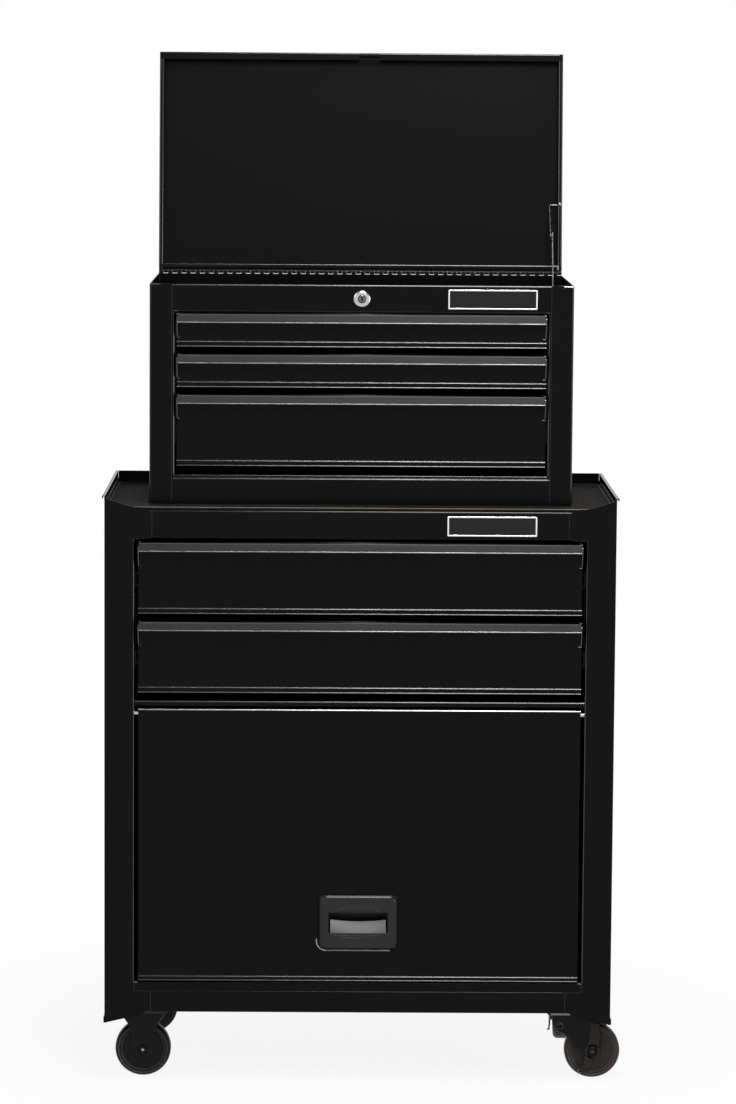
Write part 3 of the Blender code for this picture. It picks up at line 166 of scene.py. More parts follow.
def rounded(path: Path, radius: float, closed: bool = False, steps: int = ROUND_STEPS) -> Path:
    """A path with its corners rounded.

    Args:
        path: its points.
        radius: radius of the corners; a corner between short runs gets less.
        closed: whether the last point joins the first.
        steps: chords of each corner.

    Returns:
        The rounded path.
    """
    count = len(path)
    out: Path = []
    for i, here in enumerate(path):
        if not closed and i in (0, count - 1):
            out.append(here)
            continue
        at = Vector(here)
        before = Vector(path[i - 1]) - at
        after = Vector(path[(i + 1) % count]) - at
        limit = 0.49 * min(before.length, after.length)
        before.normalize()
        after.normalize()
        angle = before.angle(after, math.pi)
        if angle > math.pi - 0.02 or angle < 0.02:
            out.append(here)
            continue
        reach = min(radius / math.tan(angle / 2), limit)
        size = reach * math.tan(angle / 2)
        middle = at + (before + after).normalized() * (size / math.sin(angle / 2))
        first = at + before * reach - middle
        last = at + after * reach - middle
        sweep = math.atan2(first.x * last.y - first.y * last.x, first.dot(last))
        for k in range(steps + 1):
            turn = sweep * k / steps
            x = first.x * math.cos(turn) - first.y * math.sin(turn)
            y = first.x * math.sin(turn) + first.y * math.cos(turn)
            out.append((middle.x + x, middle.y + y))
    return out


def rectangle(u0: float, u1: float, v0: float, v1: float, radius: float = 0.0) -> Path:
    """Outline of a rectangle, with round corners if a radius is given.

    Args:
        u0: left side.
        u1: right side.
        v0: lower side.
        v1: upper side.
        radius: radius of its corners.

    Returns:
        The outline.
    """
    corners = [(u0, v0), (u1, v0), (u1, v1), (u0, v1)]
    return rounded(corners, radius, True) if radius else corners


def thick(path: Path, sheet: float) -> Path:
    """Outline of a sheet of even thickness about its middle line.

    Args:
        path: the middle line.
        sheet: the thickness.

    Returns:
        The closed outline.
    """
    left: Path = []
    right: Path = []
    for i, here in enumerate(path):
        ways = []
        if i:
            ways.append((Vector(here) - Vector(path[i - 1])).normalized())
        if i < len(path) - 1:
            ways.append((Vector(path[i + 1]) - Vector(here)).normalized())
        way = sum(ways, Vector((0.0, 0.0))).normalized()
        side = Vector((-way.y, way.x))
        shift = side * (sheet / 2 / max(side.dot(Vector((-ways[0].y, ways[0].x))), 0.3))
        left.append((here[0] + shift.x, here[1] + shift.y))
        right.append((here[0] - shift.x, here[1] - shift.y))
    return left + right[::-1]


def everywhere(middle: Vector, normal: Vector) -> bool:
    """Choose every face, whatever its middle and normal."""
    return True


class Shape:
    """A closed mesh in millimetres that other shapes can be added to or taken from."""

    def __init__(self) -> None:
        """Start with nothing."""
        self.work = bmesh.new()
        self.work.faces.layers.float.new(WEAR_AND_HIGHLIGHT_LAYER)

    @classmethod
    def prism(cls, outline: Path, axis: Axis, low: float, high: float, holes: tuple[Path, ...] = ()) -> "Shape":
        """An outline run out along an axis.

        Args:
            outline: closed outline across the axis.
            axis: direction of the run.
            low: start along the axis.
            high: end along the axis.
            holes: closed outlines of holes.

        Returns:
            The solid.
        """
        shape = cls()
        work = shape.work
        loops = [[work.verts.new((u, v, low)) for u, v in loop] for loop in (outline, *holes)]
        if holes:
            edges = [work.edges.new((a, b)) for loop in loops for a, b in zip(loop, loop[1:] + loop[:1])]
            bmesh.ops.triangle_fill(work, edges=edges, use_beauty=True)
        else:
            work.faces.new(loops[0])
        grown = bmesh.ops.extrude_face_region(work, geom=list(work.faces), use_keep_orig=True)["geom"]
        moved = [item for item in grown if isinstance(item, bmesh.types.BMVert)]
        bmesh.ops.translate(work, verts=moved, vec=(0, 0, high - low))
        work.transform(axis.value)
        bmesh.ops.recalc_face_normals(work, faces=work.faces)
        return shape

    @classmethod
    def fold(
        cls,
        path: Path,
        axis: Axis,
        low: float,
        high: float,
        radius: float = 1.4,
        sheet: float = SHEET,
        wear_and_highlight: WearAndHighlight = WearAndHighlight.EDGE,
    ) -> "Shape":
        """A folded sheet with round bends.

        Args:
            path: its middle line across the axis.
            axis: direction of the bends.
            low: start along the axis.
            high: end along the axis.
            radius: radius of the bends at the middle line.
            sheet: the thickness.
            wear_and_highlight: how far its bends are lightened, as scuffed paint and painted highlight.

        Returns:
            The solid.
        """
        return cls.prism(thick(rounded(path, radius), sheet), axis, low, high).worn_with_highlight(wear_and_highlight)

    @classmethod
    def block(cls, low: tuple, high: tuple) -> "Shape":
        """A block between two corners.

        Args:
            low: lowest corner.
            high: highest corner.

        Returns:
            The solid.
        """
        return cls.prism(rectangle(low[0], high[0], low[1], high[1]), Axis.Z, low[2], high[2])

    @classmethod
    def lofted(cls, rows: list[list[tuple]]) -> "Shape":
        """A skin over matching sections, with both ends capped.

        Args:
            rows: the sections, each a closed loop of as many points.

        Returns:
            The solid.
        """
        shape = cls()
        work = shape.work
        made = [[work.verts.new(p) for p in row] for row in rows]
        for row, after in zip(made, made[1:]):
            for i in range(len(row)):
                j = (i + 1) % len(row)
                work.faces.new((row[i], row[j], after[j], after[i]))
        work.faces.new(made[0][::-1])
        work.faces.new(made[-1])
        bmesh.ops.recalc_face_normals(work, faces=work.faces)
        return shape

    @classmethod
    def turned(cls, profile: Path, axis: Axis, centre: Point, sides: int = 48) -> "Shape":
        """A turned solid.

        Args:
            profile: closed half section as (radius, place along the axis).
            axis: axis of the turning.
            centre: where the axis stands.
            sides: number of steps round.

        Returns:
            The solid.
        """
        shape = cls()
        work = shape.work
        rows = []
        for k in range(sides):
            angle = math.tau * k / sides
            rows.append([
                work.verts.new((centre[0] + r * math.cos(angle), centre[1] + r * math.sin(angle), h))
                for r, h in profile
            ])
        for row, after in zip(rows, rows[1:] + rows[:1]):
            for i in range(len(profile)):
                j = (i + 1) % len(profile)
                work.faces.new((row[i], row[j], after[j], after[i]))
        work.transform(axis.value)
        bmesh.ops.remove_doubles(work, verts=work.verts, dist=0.001)
        bmesh.ops.dissolve_degenerate(work, edges=work.edges, dist=0.001)
        bmesh.ops.recalc_face_normals(work, faces=work.faces)
        return shape

    @classmethod
    def wire(cls, points: list[tuple], radius: float, sides: int = 12) -> "Shape":
        """A round wire along points, with rounded ends.

        Args:
            points: its middle line.
            radius: its radius.
            sides: number of sides.

        Returns:
            The solid.
        """
        shape = cls()
        work = shape.work
        line = [Vector(p) for p in points]
        start = (line[0] - line[1]).normalized()
        end = (line[-1] - line[-2]).normalized()
        line = [line[0] + start * radius * 0.6, *line, line[-1] + end * radius * 0.6]
        widths = [WIRE_TIP, *[1.0] * len(points), WIRE_TIP]
        side = start.orthogonal()
        turns = [math.tau * k / sides for k in range(sides)]
        rows = []
        for i, at in enumerate(line):
            along = (line[min(i + 1, len(line) - 1)] - line[max(i - 1, 0)]).normalized()
            side = (side - along * side.dot(along)).normalized()
            other = along.cross(side)
            size = radius * widths[i]
            rows.append([
                work.verts.new(at + side * size * math.cos(turn) + other * size * math.sin(turn)) for turn in turns
            ])
        for row, after in zip(rows, rows[1:]):
            for k in range(sides):
                work.faces.new((row[k], row[(k + 1) % sides], after[(k + 1) % sides], after[k]))
        work.faces.new(rows[0][::-1])
        work.faces.new(rows[-1])
        bmesh.ops.recalc_face_normals(work, faces=work.faces)
        return shape

    def worn_with_highlight(self, wear_and_highlight: WearAndHighlight, chosen: Callable[[Vector, Vector], bool] | None = None) -> "Shape":
        """Mark faces with a lighter, shinier finish: partly scuffed paint, mostly painted highlight.

        Args:
            wear_and_highlight: how far the faces are lightened, as scuffed paint and painted highlight.
            chosen: test of a face's middle and normal; without it, the narrow strips of bends.

        Returns:
            This shape.
        """
        layer = self.work.faces.layers.float[WEAR_AND_HIGHLIGHT_LAYER]
        self.work.normal_update()
        for face in self.work.faces:
            if chosen:
                hit = chosen(face.calc_center_median(), face.normal)
            else:
                hit = 2 * face.calc_area() / face.calc_perimeter() < NARROW
            if hit:
                face[layer] = wear_and_highlight.value
        return self

    def eased(self, width: float, wear_and_highlight: WearAndHighlight, chosen: Callable[[Vector], bool]) -> "Shape":
        """Round chosen sharp edges and mark the rounding lighter and shinier: partly scuffed paint, mostly painted
        highlight.

        Args:
            width: width of the rounding.
            wear_and_highlight: how far the rounding is lightened, as scuffed paint and painted highlight.
            chosen: test of an edge's middle.

        Returns:
            This shape.
        """
        sharp = [e for e in self.work.edges if e.is_manifold and e.calc_face_angle(0.0) > SHARP_ANGLE]
        edges = [e for e in sharp if chosen((e.verts[0].co + e.verts[1].co) / 2)]
        made = bmesh.ops.bevel(
            self.work, geom=edges, offset=width, segments=BEND_STEPS, profile=0.5, affect="EDGES", clamp_overlap=True
        )
        layer = self.work.faces.layers.float[WEAR_AND_HIGHLIGHT_LAYER]
        for face in made["faces"]:
            face[layer] = wear_and_highlight.value
        return self

    def add(self, *others: "Shape") -> "Shape":
        """Add other shapes' faces.

        Args:
            others: the shapes.

        Returns:
            This shape.
        """
        for other in others:
            mesh = bpy.data.meshes.new("part")
            other.work.to_mesh(mesh)
            self.work.from_mesh(mesh)
            bpy.data.meshes.remove(mesh)
        return self

    def minus(self, *others: "Shape") -> "Shape":
        """Cut other shapes out of this one.

        Args:
            others: the shapes.

        Returns:
            This shape.
        """
        return self.combined("DIFFERENCE", others)

    def union(self, *others: "Shape") -> "Shape":
        """Join other shapes to this one.

        Args:
            others: the shapes.

        Returns:
            This shape.
        """
        return self.combined("UNION", others)

    def combined(self, operation: str, others: tuple["Shape", ...]) -> "Shape":
        """Run boolean operations.

        Args:
            operation: the modifier's operation.
            others: the shapes.

        Returns:
            This shape.
        """
        base = self.bare_object("base")
        tools = []
        for other in others:
            tool = other.bare_object("tool")
            modifier = base.modifiers.new("cut", "BOOLEAN")
            modifier.operation = operation
            modifier.solver = "EXACT"
            modifier.object = tool
            tools.append(tool)
        bpy.context.view_layer.update()
        graph = bpy.context.evaluated_depsgraph_get()
        mesh = bpy.data.meshes.new_from_object(base.evaluated_get(graph))
        self.work.clear()
        self.work.from_mesh(mesh)
        bmesh.ops.remove_doubles(self.work, verts=self.work.verts, dist=0.001)
        for item in (base, *tools):
            bpy.data.objects.remove(item, do_unlink=True)
        return self

    def bare_object(self, name: str) -> bpy.types.Object:
        """An object of this shape in drawing units.

        Args:
            name: its name.

        Returns:
            The object.
        """
        mesh = bpy.data.meshes.new(name)
        self.work.to_mesh(mesh)
        item = bpy.data.objects.new(name, mesh)
        bpy.context.scene.collection.objects.link(item)
        return item

    def moved(self, matrix: Matrix) -> "Shape":
        """Move or turn this shape.

        Args:
            matrix: the transformation, in drawing units.

        Returns:
            This shape.
        """
        self.work.transform(matrix)
        return self

    def flipped(self, side: int) -> "Shape":
        """Take this shape to the other side of X = 0 if side is -1.

        Args:
            side: 1 or -1.

        Returns:
            This shape.
        """
        if side < 0:
            self.work.transform(Matrix.Diagonal((-1, 1, 1, 1)))
            bmesh.ops.reverse_faces(self.work, faces=self.work.faces)
        return self


class Surface(Enum):
    """Kinds of fine relief of a finish."""

    SPRAYED = "sprayed"
    BRUSHED = "brushed"
    MOULDED = "moulded"
    ROLLED = "rolled"
    RUBBER = "rubber"


def wired(
    tree: bpy.types.NodeTree, kind: str, inputs: dict[int | str, object], output: int | str = 0, **choices: str
) -> bpy.types.NodeSocket:
    """Add a node with its choices made and its inputs set or linked.

    Args:
        tree: the nodes to add to.
        kind: type of the node.
        inputs: a value or a socket for each input, by its place or name.
        output: place or name of the wanted output.
        choices: the node's own settings.

    Returns:
        The wanted output.
    """
    node = tree.nodes.new(kind)
    for name, choice in choices.items():
        setattr(node, name, choice)
    for key, value in inputs.items():
        if isinstance(value, bpy.types.NodeSocket):
            tree.links.new(value, node.inputs[key])
        else:
            node.inputs[key].default_value = value
    return node.outputs[output]


@dataclass(frozen=True)
class Finish:
    """A finish: its slot in the record, its colours and gloss, and its fine relief."""

    name: str
    slot: str
    colour: tuple[float, float, float]
    second: tuple[float, float, float]
    surface: Surface
    roughness: float
    roughness_spread: float = 0.05
    metallic: float = 0.0
    specular: float = 0.5
    relief: float = 0.00002
    patch_scale: float = 6.0
    # Colour, roughness and metal of marked faces; the marks are partly scuffed paint and mostly painted highlight.
    wear_and_highlight_colour: tuple[float, float, float] = (0.32, 0.32, 0.33)
    wear_and_highlight_roughness: float = 0.2
    wear_and_highlight_metal: bool = True
    anisotropic: float = 0.0

    def material(self) -> bpy.types.Material:
        """The material of this finish, made once.

        Returns:
            The material.
        """
        made = bpy.data.materials.get(self.name)
        if made:
            return made
        made = bpy.data.materials.new(self.name)
        made.use_nodes = True
        tree = made.node_tree
        shader = tree.nodes["Principled BSDF"]
        shader.inputs["Metallic"].default_value = self.metallic
        shader.inputs["Specular IOR Level"].default_value = self.specular
        shader.inputs["Anisotropic"].default_value = self.anisotropic
        shader.inputs["Anisotropic Rotation"].default_value = ACROSS_GRAIN
        place = tree.nodes.new("ShaderNodeTexCoord").outputs["Object"]
        patches = self.noise(tree, place, (1, 1, 1), self.patch_scale, 3.0)
        grain, depth = self.grain(tree, place)
        half = wired(tree, "ShaderNodeMath", {0: patches, 1: 0.5}, operation="MULTIPLY")
        blend = wired(tree, "ShaderNodeMath", {0: grain, 1: 0.5, 2: half}, operation="MULTIPLY_ADD")
        shades = {0: blend, 6: (*self.colour, 1), 7: (*self.second, 1)}
        colour = wired(tree, "ShaderNodeMix", shades, 2, data_type="RGBA")
        spread = {
            "Value": blend,
            "To Min": self.roughness - self.roughness_spread,
            "To Max": self.roughness + self.roughness_spread,
        }
        self.rub(tree, colour, wired(tree, "ShaderNodeMapRange", spread), patches)
        relief = {"Strength": depth, "Distance": self.relief, "Height": grain}
        tree.links.new(wired(tree, "ShaderNodeBump", relief), shader.inputs["Normal"])
        return made

    def rub(
        self,
        tree: bpy.types.NodeTree,
        base: bpy.types.NodeSocket,
        rough: bpy.types.NodeSocket,
        patches: bpy.types.NodeSocket,
    ) -> None:
        """Nodes that show the marked faces, patchily, lighter and shinier over the finish: partly scuffed paint,
        mostly painted highlight.

        Args:
            tree: the material's nodes.
            base: colour of the finish.
            rough: roughness of the finish.
            patches: a slow noise.
        """
        shader = tree.nodes["Principled BSDF"]
        worn_with_highlight = wired(tree, "ShaderNodeAttribute", {}, "Fac", attribute_name=WEAR_AND_HIGHLIGHT_LAYER)
        patchy = {"Value": patches, "From Min": 0.3, "From Max": 0.7, "To Min": 0.8, "To Max": 1.15}
        uneven = wired(tree, "ShaderNodeMapRange", patchy)
        amount = wired(tree, "ShaderNodeMath", {0: worn_with_highlight, 1: uneven}, operation="MULTIPLY")
        # The marked colour stands for a painted highlight more than for bare metal.
        bare = wired(tree, "ShaderNodeMix", {0: amount, 6: BLACK, 7: (*self.wear_and_highlight_colour, 1)}, 2, data_type="RGBA")
        mask = wired(tree, "ShaderNodeMath", {0: worn_with_highlight, 1: WEAR_AND_HIGHLIGHT_SHOWS}, operation="GREATER_THAN")
        colour = wired(tree, "ShaderNodeMix", {0: mask, 6: base, 7: bare}, 2, data_type="RGBA")
        tree.links.new(colour, shader.inputs["Base Color"])
        shine = wired(tree, "ShaderNodeMix", {0: mask, 2: rough, 3: self.wear_and_highlight_roughness})
        tree.links.new(shine, shader.inputs["Roughness"])
        if self.wear_and_highlight_metal and self.metallic < 1:
            metal = wired(tree, "ShaderNodeMath", {0: mask, 1: self.metallic}, operation="MAXIMUM")
            tree.links.new(metal, shader.inputs["Metallic"])

    def grain(self, tree: bpy.types.NodeTree, place: bpy.types.NodeSocket) -> tuple[bpy.types.NodeSocket, float]:
        """Nodes of the fine relief.

        Args:
            tree: the material's nodes.
            place: socket of the coordinates.

        Returns:
            The height socket, and the bump's strength.
        """
        if self.surface is Surface.SPRAYED:
            return self.noise(tree, place, (1, 1, 1), 700.0, 2.0), 0.22
        if self.surface is Surface.BRUSHED:
            return self.noise(tree, place, (4, 900, 900), 1.0, 4.0), 0.5
        if self.surface is Surface.MOULDED:
            return self.noise(tree, place, (1, 1, 1), 1800.0, 2.0), 0.6
        if self.surface is Surface.RUBBER:
            return self.noise(tree, place, (1, 1, 1), 900.0, 5.0), 0.8
        return self.noise(tree, place, (60, 60, 220), 1.0, 4.0), 0.4

    @staticmethod
    def noise(
        tree: bpy.types.NodeTree,
        place: bpy.types.NodeSocket,
        stretch: tuple[float, float, float],
        scale: float,
        detail: float,
    ) -> bpy.types.NodeSocket:
        """A noise texture on stretched coordinates.

        Args:
            tree: the material's nodes.
            place: socket of the coordinates.
            stretch: factors along X, Y and Z.
            scale: scale of the noise.
            detail: its detail.

        Returns:
            The socket of its value.
        """
        stretched = wired(tree, "ShaderNodeMapping", {"Vector": place, "Scale": stretch})
        return wired(tree, "ShaderNodeTexNoise", {"Vector": stretched, "Scale": scale, "Detail": detail}, "Fac")


ENAMEL = Finish(
    "sprayed_enamel", "black_enamel", (0.0014, 0.0013, 0.0015), (0.0024, 0.0022, 0.0024),
    Surface.SPRAYED, 0.26, 0.03, specular=0.085, relief=0.00001,
)
PULL_METAL = Finish(
    "brushed_pull", "grey_pull", (0.026, 0.026, 0.027), (0.050, 0.051, 0.051),
    Surface.BRUSHED, 0.47, 0.04, metallic=1.0, relief=0.0006, wear_and_highlight_roughness=0.24, anisotropic=0.85,
)
ZINC = Finish(
    "bright_zinc", "zinc", (0.42, 0.43, 0.45), (0.60, 0.61, 0.62),
    Surface.ROLLED, 0.24, 0.06, metallic=1.0,
)
STAY_STEEL = Finish(
    "stay_wire", "zinc", (0.15, 0.135, 0.12), (0.26, 0.24, 0.22),
    Surface.ROLLED, 0.30, 0.06, metallic=1.0,
)
DARK_STEEL = Finish(
    "pressed_steel", "dark_steel", (0.0026, 0.0025, 0.0026), (0.0050, 0.0046, 0.0045),
    Surface.ROLLED, 0.34, 0.06, specular=0.12,
)
LEVER_STEEL = Finish(
    "lever_steel", "dark_steel", (0.010, 0.0080, 0.0078), (0.022, 0.0175, 0.0165),
    Surface.ROLLED, 0.40, 0.08, specular=0.16,
)
SLIDE_STEEL = Finish(
    "slide_steel", "dark_steel", (0.0020, 0.0020, 0.0021), (0.0040, 0.0040, 0.0042),
    Surface.ROLLED, 0.42, 0.06, specular=0.08,
)
# The lighter brown of its marked rib tops and border is painted light, strongest on the front strip.
MAT_RUBBER = Finish(
    "ribbed_mat", "rubber_mat", (0.0085, 0.0068, 0.0055), (0.016, 0.0130, 0.0105),
    Surface.RUBBER, 0.70, 0.1, specular=0.12, relief=0.0001, patch_scale=14.0,
    wear_and_highlight_colour=(0.42, 0.35, 0.29), wear_and_highlight_roughness=0.7, wear_and_highlight_metal=False,
)
# Its lighter brown on the ring slopes is painted highlight.
WHEEL_PLASTIC = Finish(
    "wheel_moulding", "wheel_plastic", (0.0030, 0.0026, 0.0024), (0.0056, 0.0048, 0.0044),
    Surface.MOULDED, 0.38, 0.06, specular=0.13,
    wear_and_highlight_colour=(0.30, 0.24, 0.21), wear_and_highlight_roughness=0.5, wear_and_highlight_metal=False,
)
# A lighter copy of the wheel moulding for the right wheels: painted light, for the brighter light on that side.
WHEEL_PLASTIC_PAINTED_LIGHT = Finish(
    "wheel_moulding_painted_light", "wheel_plastic", (0.0170, 0.0136, 0.0115), (0.0300, 0.0240, 0.0210),
    Surface.MOULDED, 0.45, 0.06, specular=0.16,
    wear_and_highlight_colour=(0.30, 0.24, 0.21), wear_and_highlight_roughness=0.5, wear_and_highlight_metal=False,
)
# Its lighter colour on the scoop, the brow and the bezel's upper edge is painted highlight.
CUP_PLASTIC = Finish(
    "cup_moulding", "cup_plastic", (0.0065, 0.0065, 0.0082), (0.0115, 0.0115, 0.0135),
    Surface.MOULDED, 0.33, 0.05, specular=0.27,
    wear_and_highlight_colour=(0.24, 0.24, 0.25), wear_and_highlight_roughness=0.3,
)
CORE_METAL = Finish(
    "keyed_core", "zinc", (0.09, 0.09, 0.095), (0.20, 0.20, 0.21),
    Surface.ROLLED, 0.24, 0.06, metallic=1.0,
)
RIM_METAL = Finish(
    "bright_rim", "zinc", (0.80, 0.80, 0.81), (0.92, 0.92, 0.93),
    Surface.ROLLED, 0.22, 0.05, metallic=1.0,
)
PLATE_BLACK = Finish(
    "plate_black", "black_enamel", (0.006, 0.006, 0.0065), (0.010, 0.010, 0.0105),
    Surface.SPRAYED, 0.35, 0.05, specular=0.2,
)


def dress(item: bpy.types.Object, finish: Finish) -> None:
    """Give an object one finish.

    Args:
        item: the object.
        finish: its finish.
    """
    item.data.materials.clear()
    item.data.materials.append(finish.material())


def make_piece(
    name: str,
    shape: Shape,
    finish: Finish,
    body: str,
    replaces: tuple[str, ...] = (),
    bevel: float = 0.0,
) -> bpy.types.Object:
    """Turn a drawing into a piece that rides on a body.

    Args:
        name: name of the piece.
        shape: its drawing.
        finish: its finish.
        body: the body that it rides on.
        replaces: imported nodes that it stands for.
        bevel: width of its rounded edges, in millimetres.

    Returns:
        The piece.
    """
    item = shape.bare_object(name)
    item.data.transform(TO_PACKED)
    item.data.shade_smooth()
    item.data.set_sharp_from_angle(angle=SHARP_ANGLE)
    if bevel:
        edge = item.modifiers.new("round_edges", "BEVEL")
        edge.width = bevel * MM
        edge.segments = BEND_STEPS
        edge.limit_method = "ANGLE"
        edge.angle_limit = SHARP_ANGLE
    weights = item.modifiers.new("flat_faces", "WEIGHTED_NORMAL")
    weights.keep_sharp = True
    dress(item, finish)
    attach(item, body)
    if replaces:
        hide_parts(*replaces)
    LOG.info("%s rides on %s", name, body)
    return item


@dataclass
class CabinetShell:
    """The fixed sheets of the cabinet, its tray and the mat."""

    body: str = "carcass"
    half: float = 336.5
    opening_half: float = 297.2
    gusset_half: float = 273.7
    depth: float = 355.6
    base: float = 96.3
    top: float = 766.8
    header_bottom: float = 728.6
    corner_top: float = 781.8
    rim_top: float = 785.5
    skirt_bottom: float = 81.1
    sill_top: float = 137.5
    plinth_top: float = 124.7
    return_depth: float = 20.0
    face: float = CABINET_FACE
    corner: float = 2.5
    gusset_round: float = 6.0
    rib_pitch: float = 4.0
    rib_width: float = 1.9
    rib_height: float = 0.7
    rib_root: float = 0.2
    rib_end: float = 0.6
    rib_round: float = 0.15
    border: float = 1.6
    mat_corner: float = 14.0
    strip: float = 44.0
    rear_return: float = 20.0
    rear_inset: float = 1.8
    rim_reach: float = 2.6
    rim_hem: float = 3.8
    skirt_hem: float = 8.0
    skirt_reach: float = 1.3
    seam_round: float = 0.55
    bead: float = 0.62

    def build(self) -> None:
        """Make all its pieces."""
        for side, word in ((1, "right"), (-1, "left")):
            self.side(side, word)
        self.header()
        self.sill()
        self.divider()
        self.back()
        self.tray()
        self.mat()
        dress(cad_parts["cabinet_bottom"], ENAMEL)
        for node in ("cabinet_slides_left", "cabinet_slides_right"):
            dress(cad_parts[node], SLIDE_STEEL)

    def post_outline(self) -> Path:
        """Front of the right post inside its outer bend.

        Returns:
            The outline in X and Z.
        """
        outer = self.half - self.corner
        inner = self.opening_half + self.corner
        drop = self.corner_top - self.top
        reach = outer - self.gusset_half
        slope = [
            (self.gusset_half + reach * t, self.top + drop * t ** 1.45)
            for t in (1.0, 0.9, 0.8, 0.7, 0.6, 0.5, 0.4, 0.3, 0.2, 0.1)
        ]
        foot = [
            (self.gusset_half + 1.5, self.base), (self.gusset_half + 7.5, self.base),
            (self.gusset_half + 11.5, self.base - 3.4), (outer, self.skirt_bottom + 0.5),
        ]
        low_round = arc(
            (self.gusset_half + self.gusset_round, self.header_bottom + self.gusset_round),
            self.gusset_round, 180, 270, 6,
        )
        return [
            *slope,
            *arc(
                (self.gusset_half + self.gusset_round, self.top - self.gusset_round),
                self.gusset_round, 90, 180, 6,
            ),
            *low_round,
            (self.opening_half, self.header_bottom),
            (self.opening_half, self.header_bottom - GAP),
            (inner, self.header_bottom - GAP),
            (inner, self.sill_top + GAP),
            (self.opening_half, self.sill_top + GAP),
            (self.opening_half, self.plinth_top),
            (self.gusset_half + 1.5, self.plinth_top),
            *foot,
        ]

    def side(self, side: int, word: str) -> None:
        """A side with its post, returns, rim and skirt.

        Args:
            side: 1 for the right, -1 for the left.
            word: the side's name.
        """
        middle = SHEET / 2
        outer = self.half - middle
        post = Shape.prism(self.post_outline(), Axis.Y, 0, SHEET)
        # The post's inner edge is rounded and painted lighter, and a small bead at its foot is painted fully bright:
        # painted highlight.
        seam_x, seam_z = self.opening_half + 0.2, self.top - 0.5
        post.eased(self.seam_round, WearAndHighlight.SHINY, lambda m: m.y < TOUCH and m.x < seam_x and m.z < seam_z)
        bead_z = self.sill_top - 1.0
        foot_bead = Shape.wire(
            [(self.opening_half - 4.2, 0.75, bead_z), (self.opening_half + 2.6, 0.6, bead_z)], self.bead, 8
        ).worn_with_highlight(WearAndHighlight.BARE, everywhere)
        wall = Shape.fold(
            [(self.half - self.corner, middle), (outer, middle), (outer, self.depth)],
            Axis.Z, self.skirt_bottom, self.rim_top - SHEET, self.corner - middle, wear_and_highlight=WearAndHighlight.NONE,
        )
        inner = Shape.fold(
            [
                (self.opening_half + self.corner, middle), (self.opening_half + middle, middle),
                (self.opening_half + middle, self.return_depth),
            ],
            Axis.Z, self.sill_top + GAP, self.header_bottom - GAP, self.corner - middle,
        )
        rear_y = self.depth - self.rear_inset
        rear = Shape.block(
            (self.half - self.rear_return, rear_y - middle, self.base + RAIL_INSET),
            (outer, rear_y + middle, self.top),
        )
        rim = Shape.fold(
            [
                (outer, self.rim_top - 6), (outer, self.rim_top - middle),
                (self.half + self.rim_reach, self.rim_top - middle),
                (self.half + self.rim_reach, self.rim_top - self.rim_hem),
            ],
            Axis.Y, 0, self.depth, 1.0,
        )
        hem = Shape.prism(
            rectangle(
                self.half - middle, self.half + self.skirt_reach,
                self.skirt_bottom, self.skirt_bottom + self.skirt_hem, 0.85,
            ),
            Axis.Y, 0, self.depth,
        )
        whole = post.add(wall, inner, rear, rim, hem, foot_bead).flipped(side)
        name = f"cabinet_side_{word}"
        make_piece(f"{name}_sheet", whole, ENAMEL, self.body, (name,))

    def header(self) -> None:
        """The folded rail above the drawers."""
        middle = SHEET / 2
        half = self.half - RAIL_INSET
        # Its bends are painted faintly lighter: painted highlight.
        shape = Shape.fold(
            [
                (self.face + 16, self.header_bottom + middle), (self.face + middle, self.header_bottom + middle),
                (self.face + middle, self.top - middle), (self.face + 12, self.top - middle),
            ],
            Axis.X, -half, half, 1.8,
        ).worn_with_highlight(WearAndHighlight.FAINT)
        make_piece("cabinet_header_rail", shape, ENAMEL, self.body, ("cabinet_header",))

    def sill(self) -> None:
        """The rail below the door, with its plinth strip."""
        middle = SHEET / 2
        half = self.half - RAIL_INSET
        # Its bends and the plinth's top edge are painted faintly lighter: painted highlight.
        rail = Shape.fold(
            [
                (self.face + middle, self.base), (self.face + middle, self.sill_top - middle),
                (self.face + 14, self.sill_top - middle),
            ],
            Axis.X, -half, half, 1.6, wear_and_highlight=WearAndHighlight.TRACE,
        )
        plinth_half = self.gusset_half - GAP
        plinth = Shape.prism(
            rounded(
                [
                    (self.face + 0.5, self.base), (self.face + 0.5, self.plinth_top),
                    (self.face - 0.8, self.plinth_top), (self.face - 0.8, self.base),
                ],
                0.6, True, 3,
            ),
            Axis.X, -plinth_half, plinth_half,
        ).worn_with_highlight(WearAndHighlight.FAINT, lambda middle, normal: abs(normal.z) > 0.3 and middle.z > self.base + 5)
        make_piece("cabinet_sill_rail", rail.add(plinth), ENAMEL, self.body, ("cabinet_sill",))

    def divider(self) -> None:
        """The shelf between the drawers and the compartment."""
        low, high = span("cabinet_divider")
        middle = SHEET / 2
        shape = Shape.fold(
            [
                (low.y + middle, low.z), (low.y + middle, high.z - middle), (high.y, high.z - middle),
            ],
            Axis.X, low.x, high.x, 1.6,
        )
        make_piece("cabinet_divider_shelf", shape, ENAMEL, self.body, ("cabinet_divider",))

    def back(self) -> None:
        """The back sheet with its hem."""
        middle = SHEET / 2
        half = self.half - RAIL_INSET
        shape = Shape.fold(
            [
                (self.depth - middle, self.base), (self.depth - middle, self.rim_top - middle),
                (self.depth - 4, self.rim_top - middle),
            ],
            Axis.X, -half, half, 1.4,
        )
        make_piece("cabinet_back_sheet", shape, ENAMEL, self.body, ("cabinet_back",))

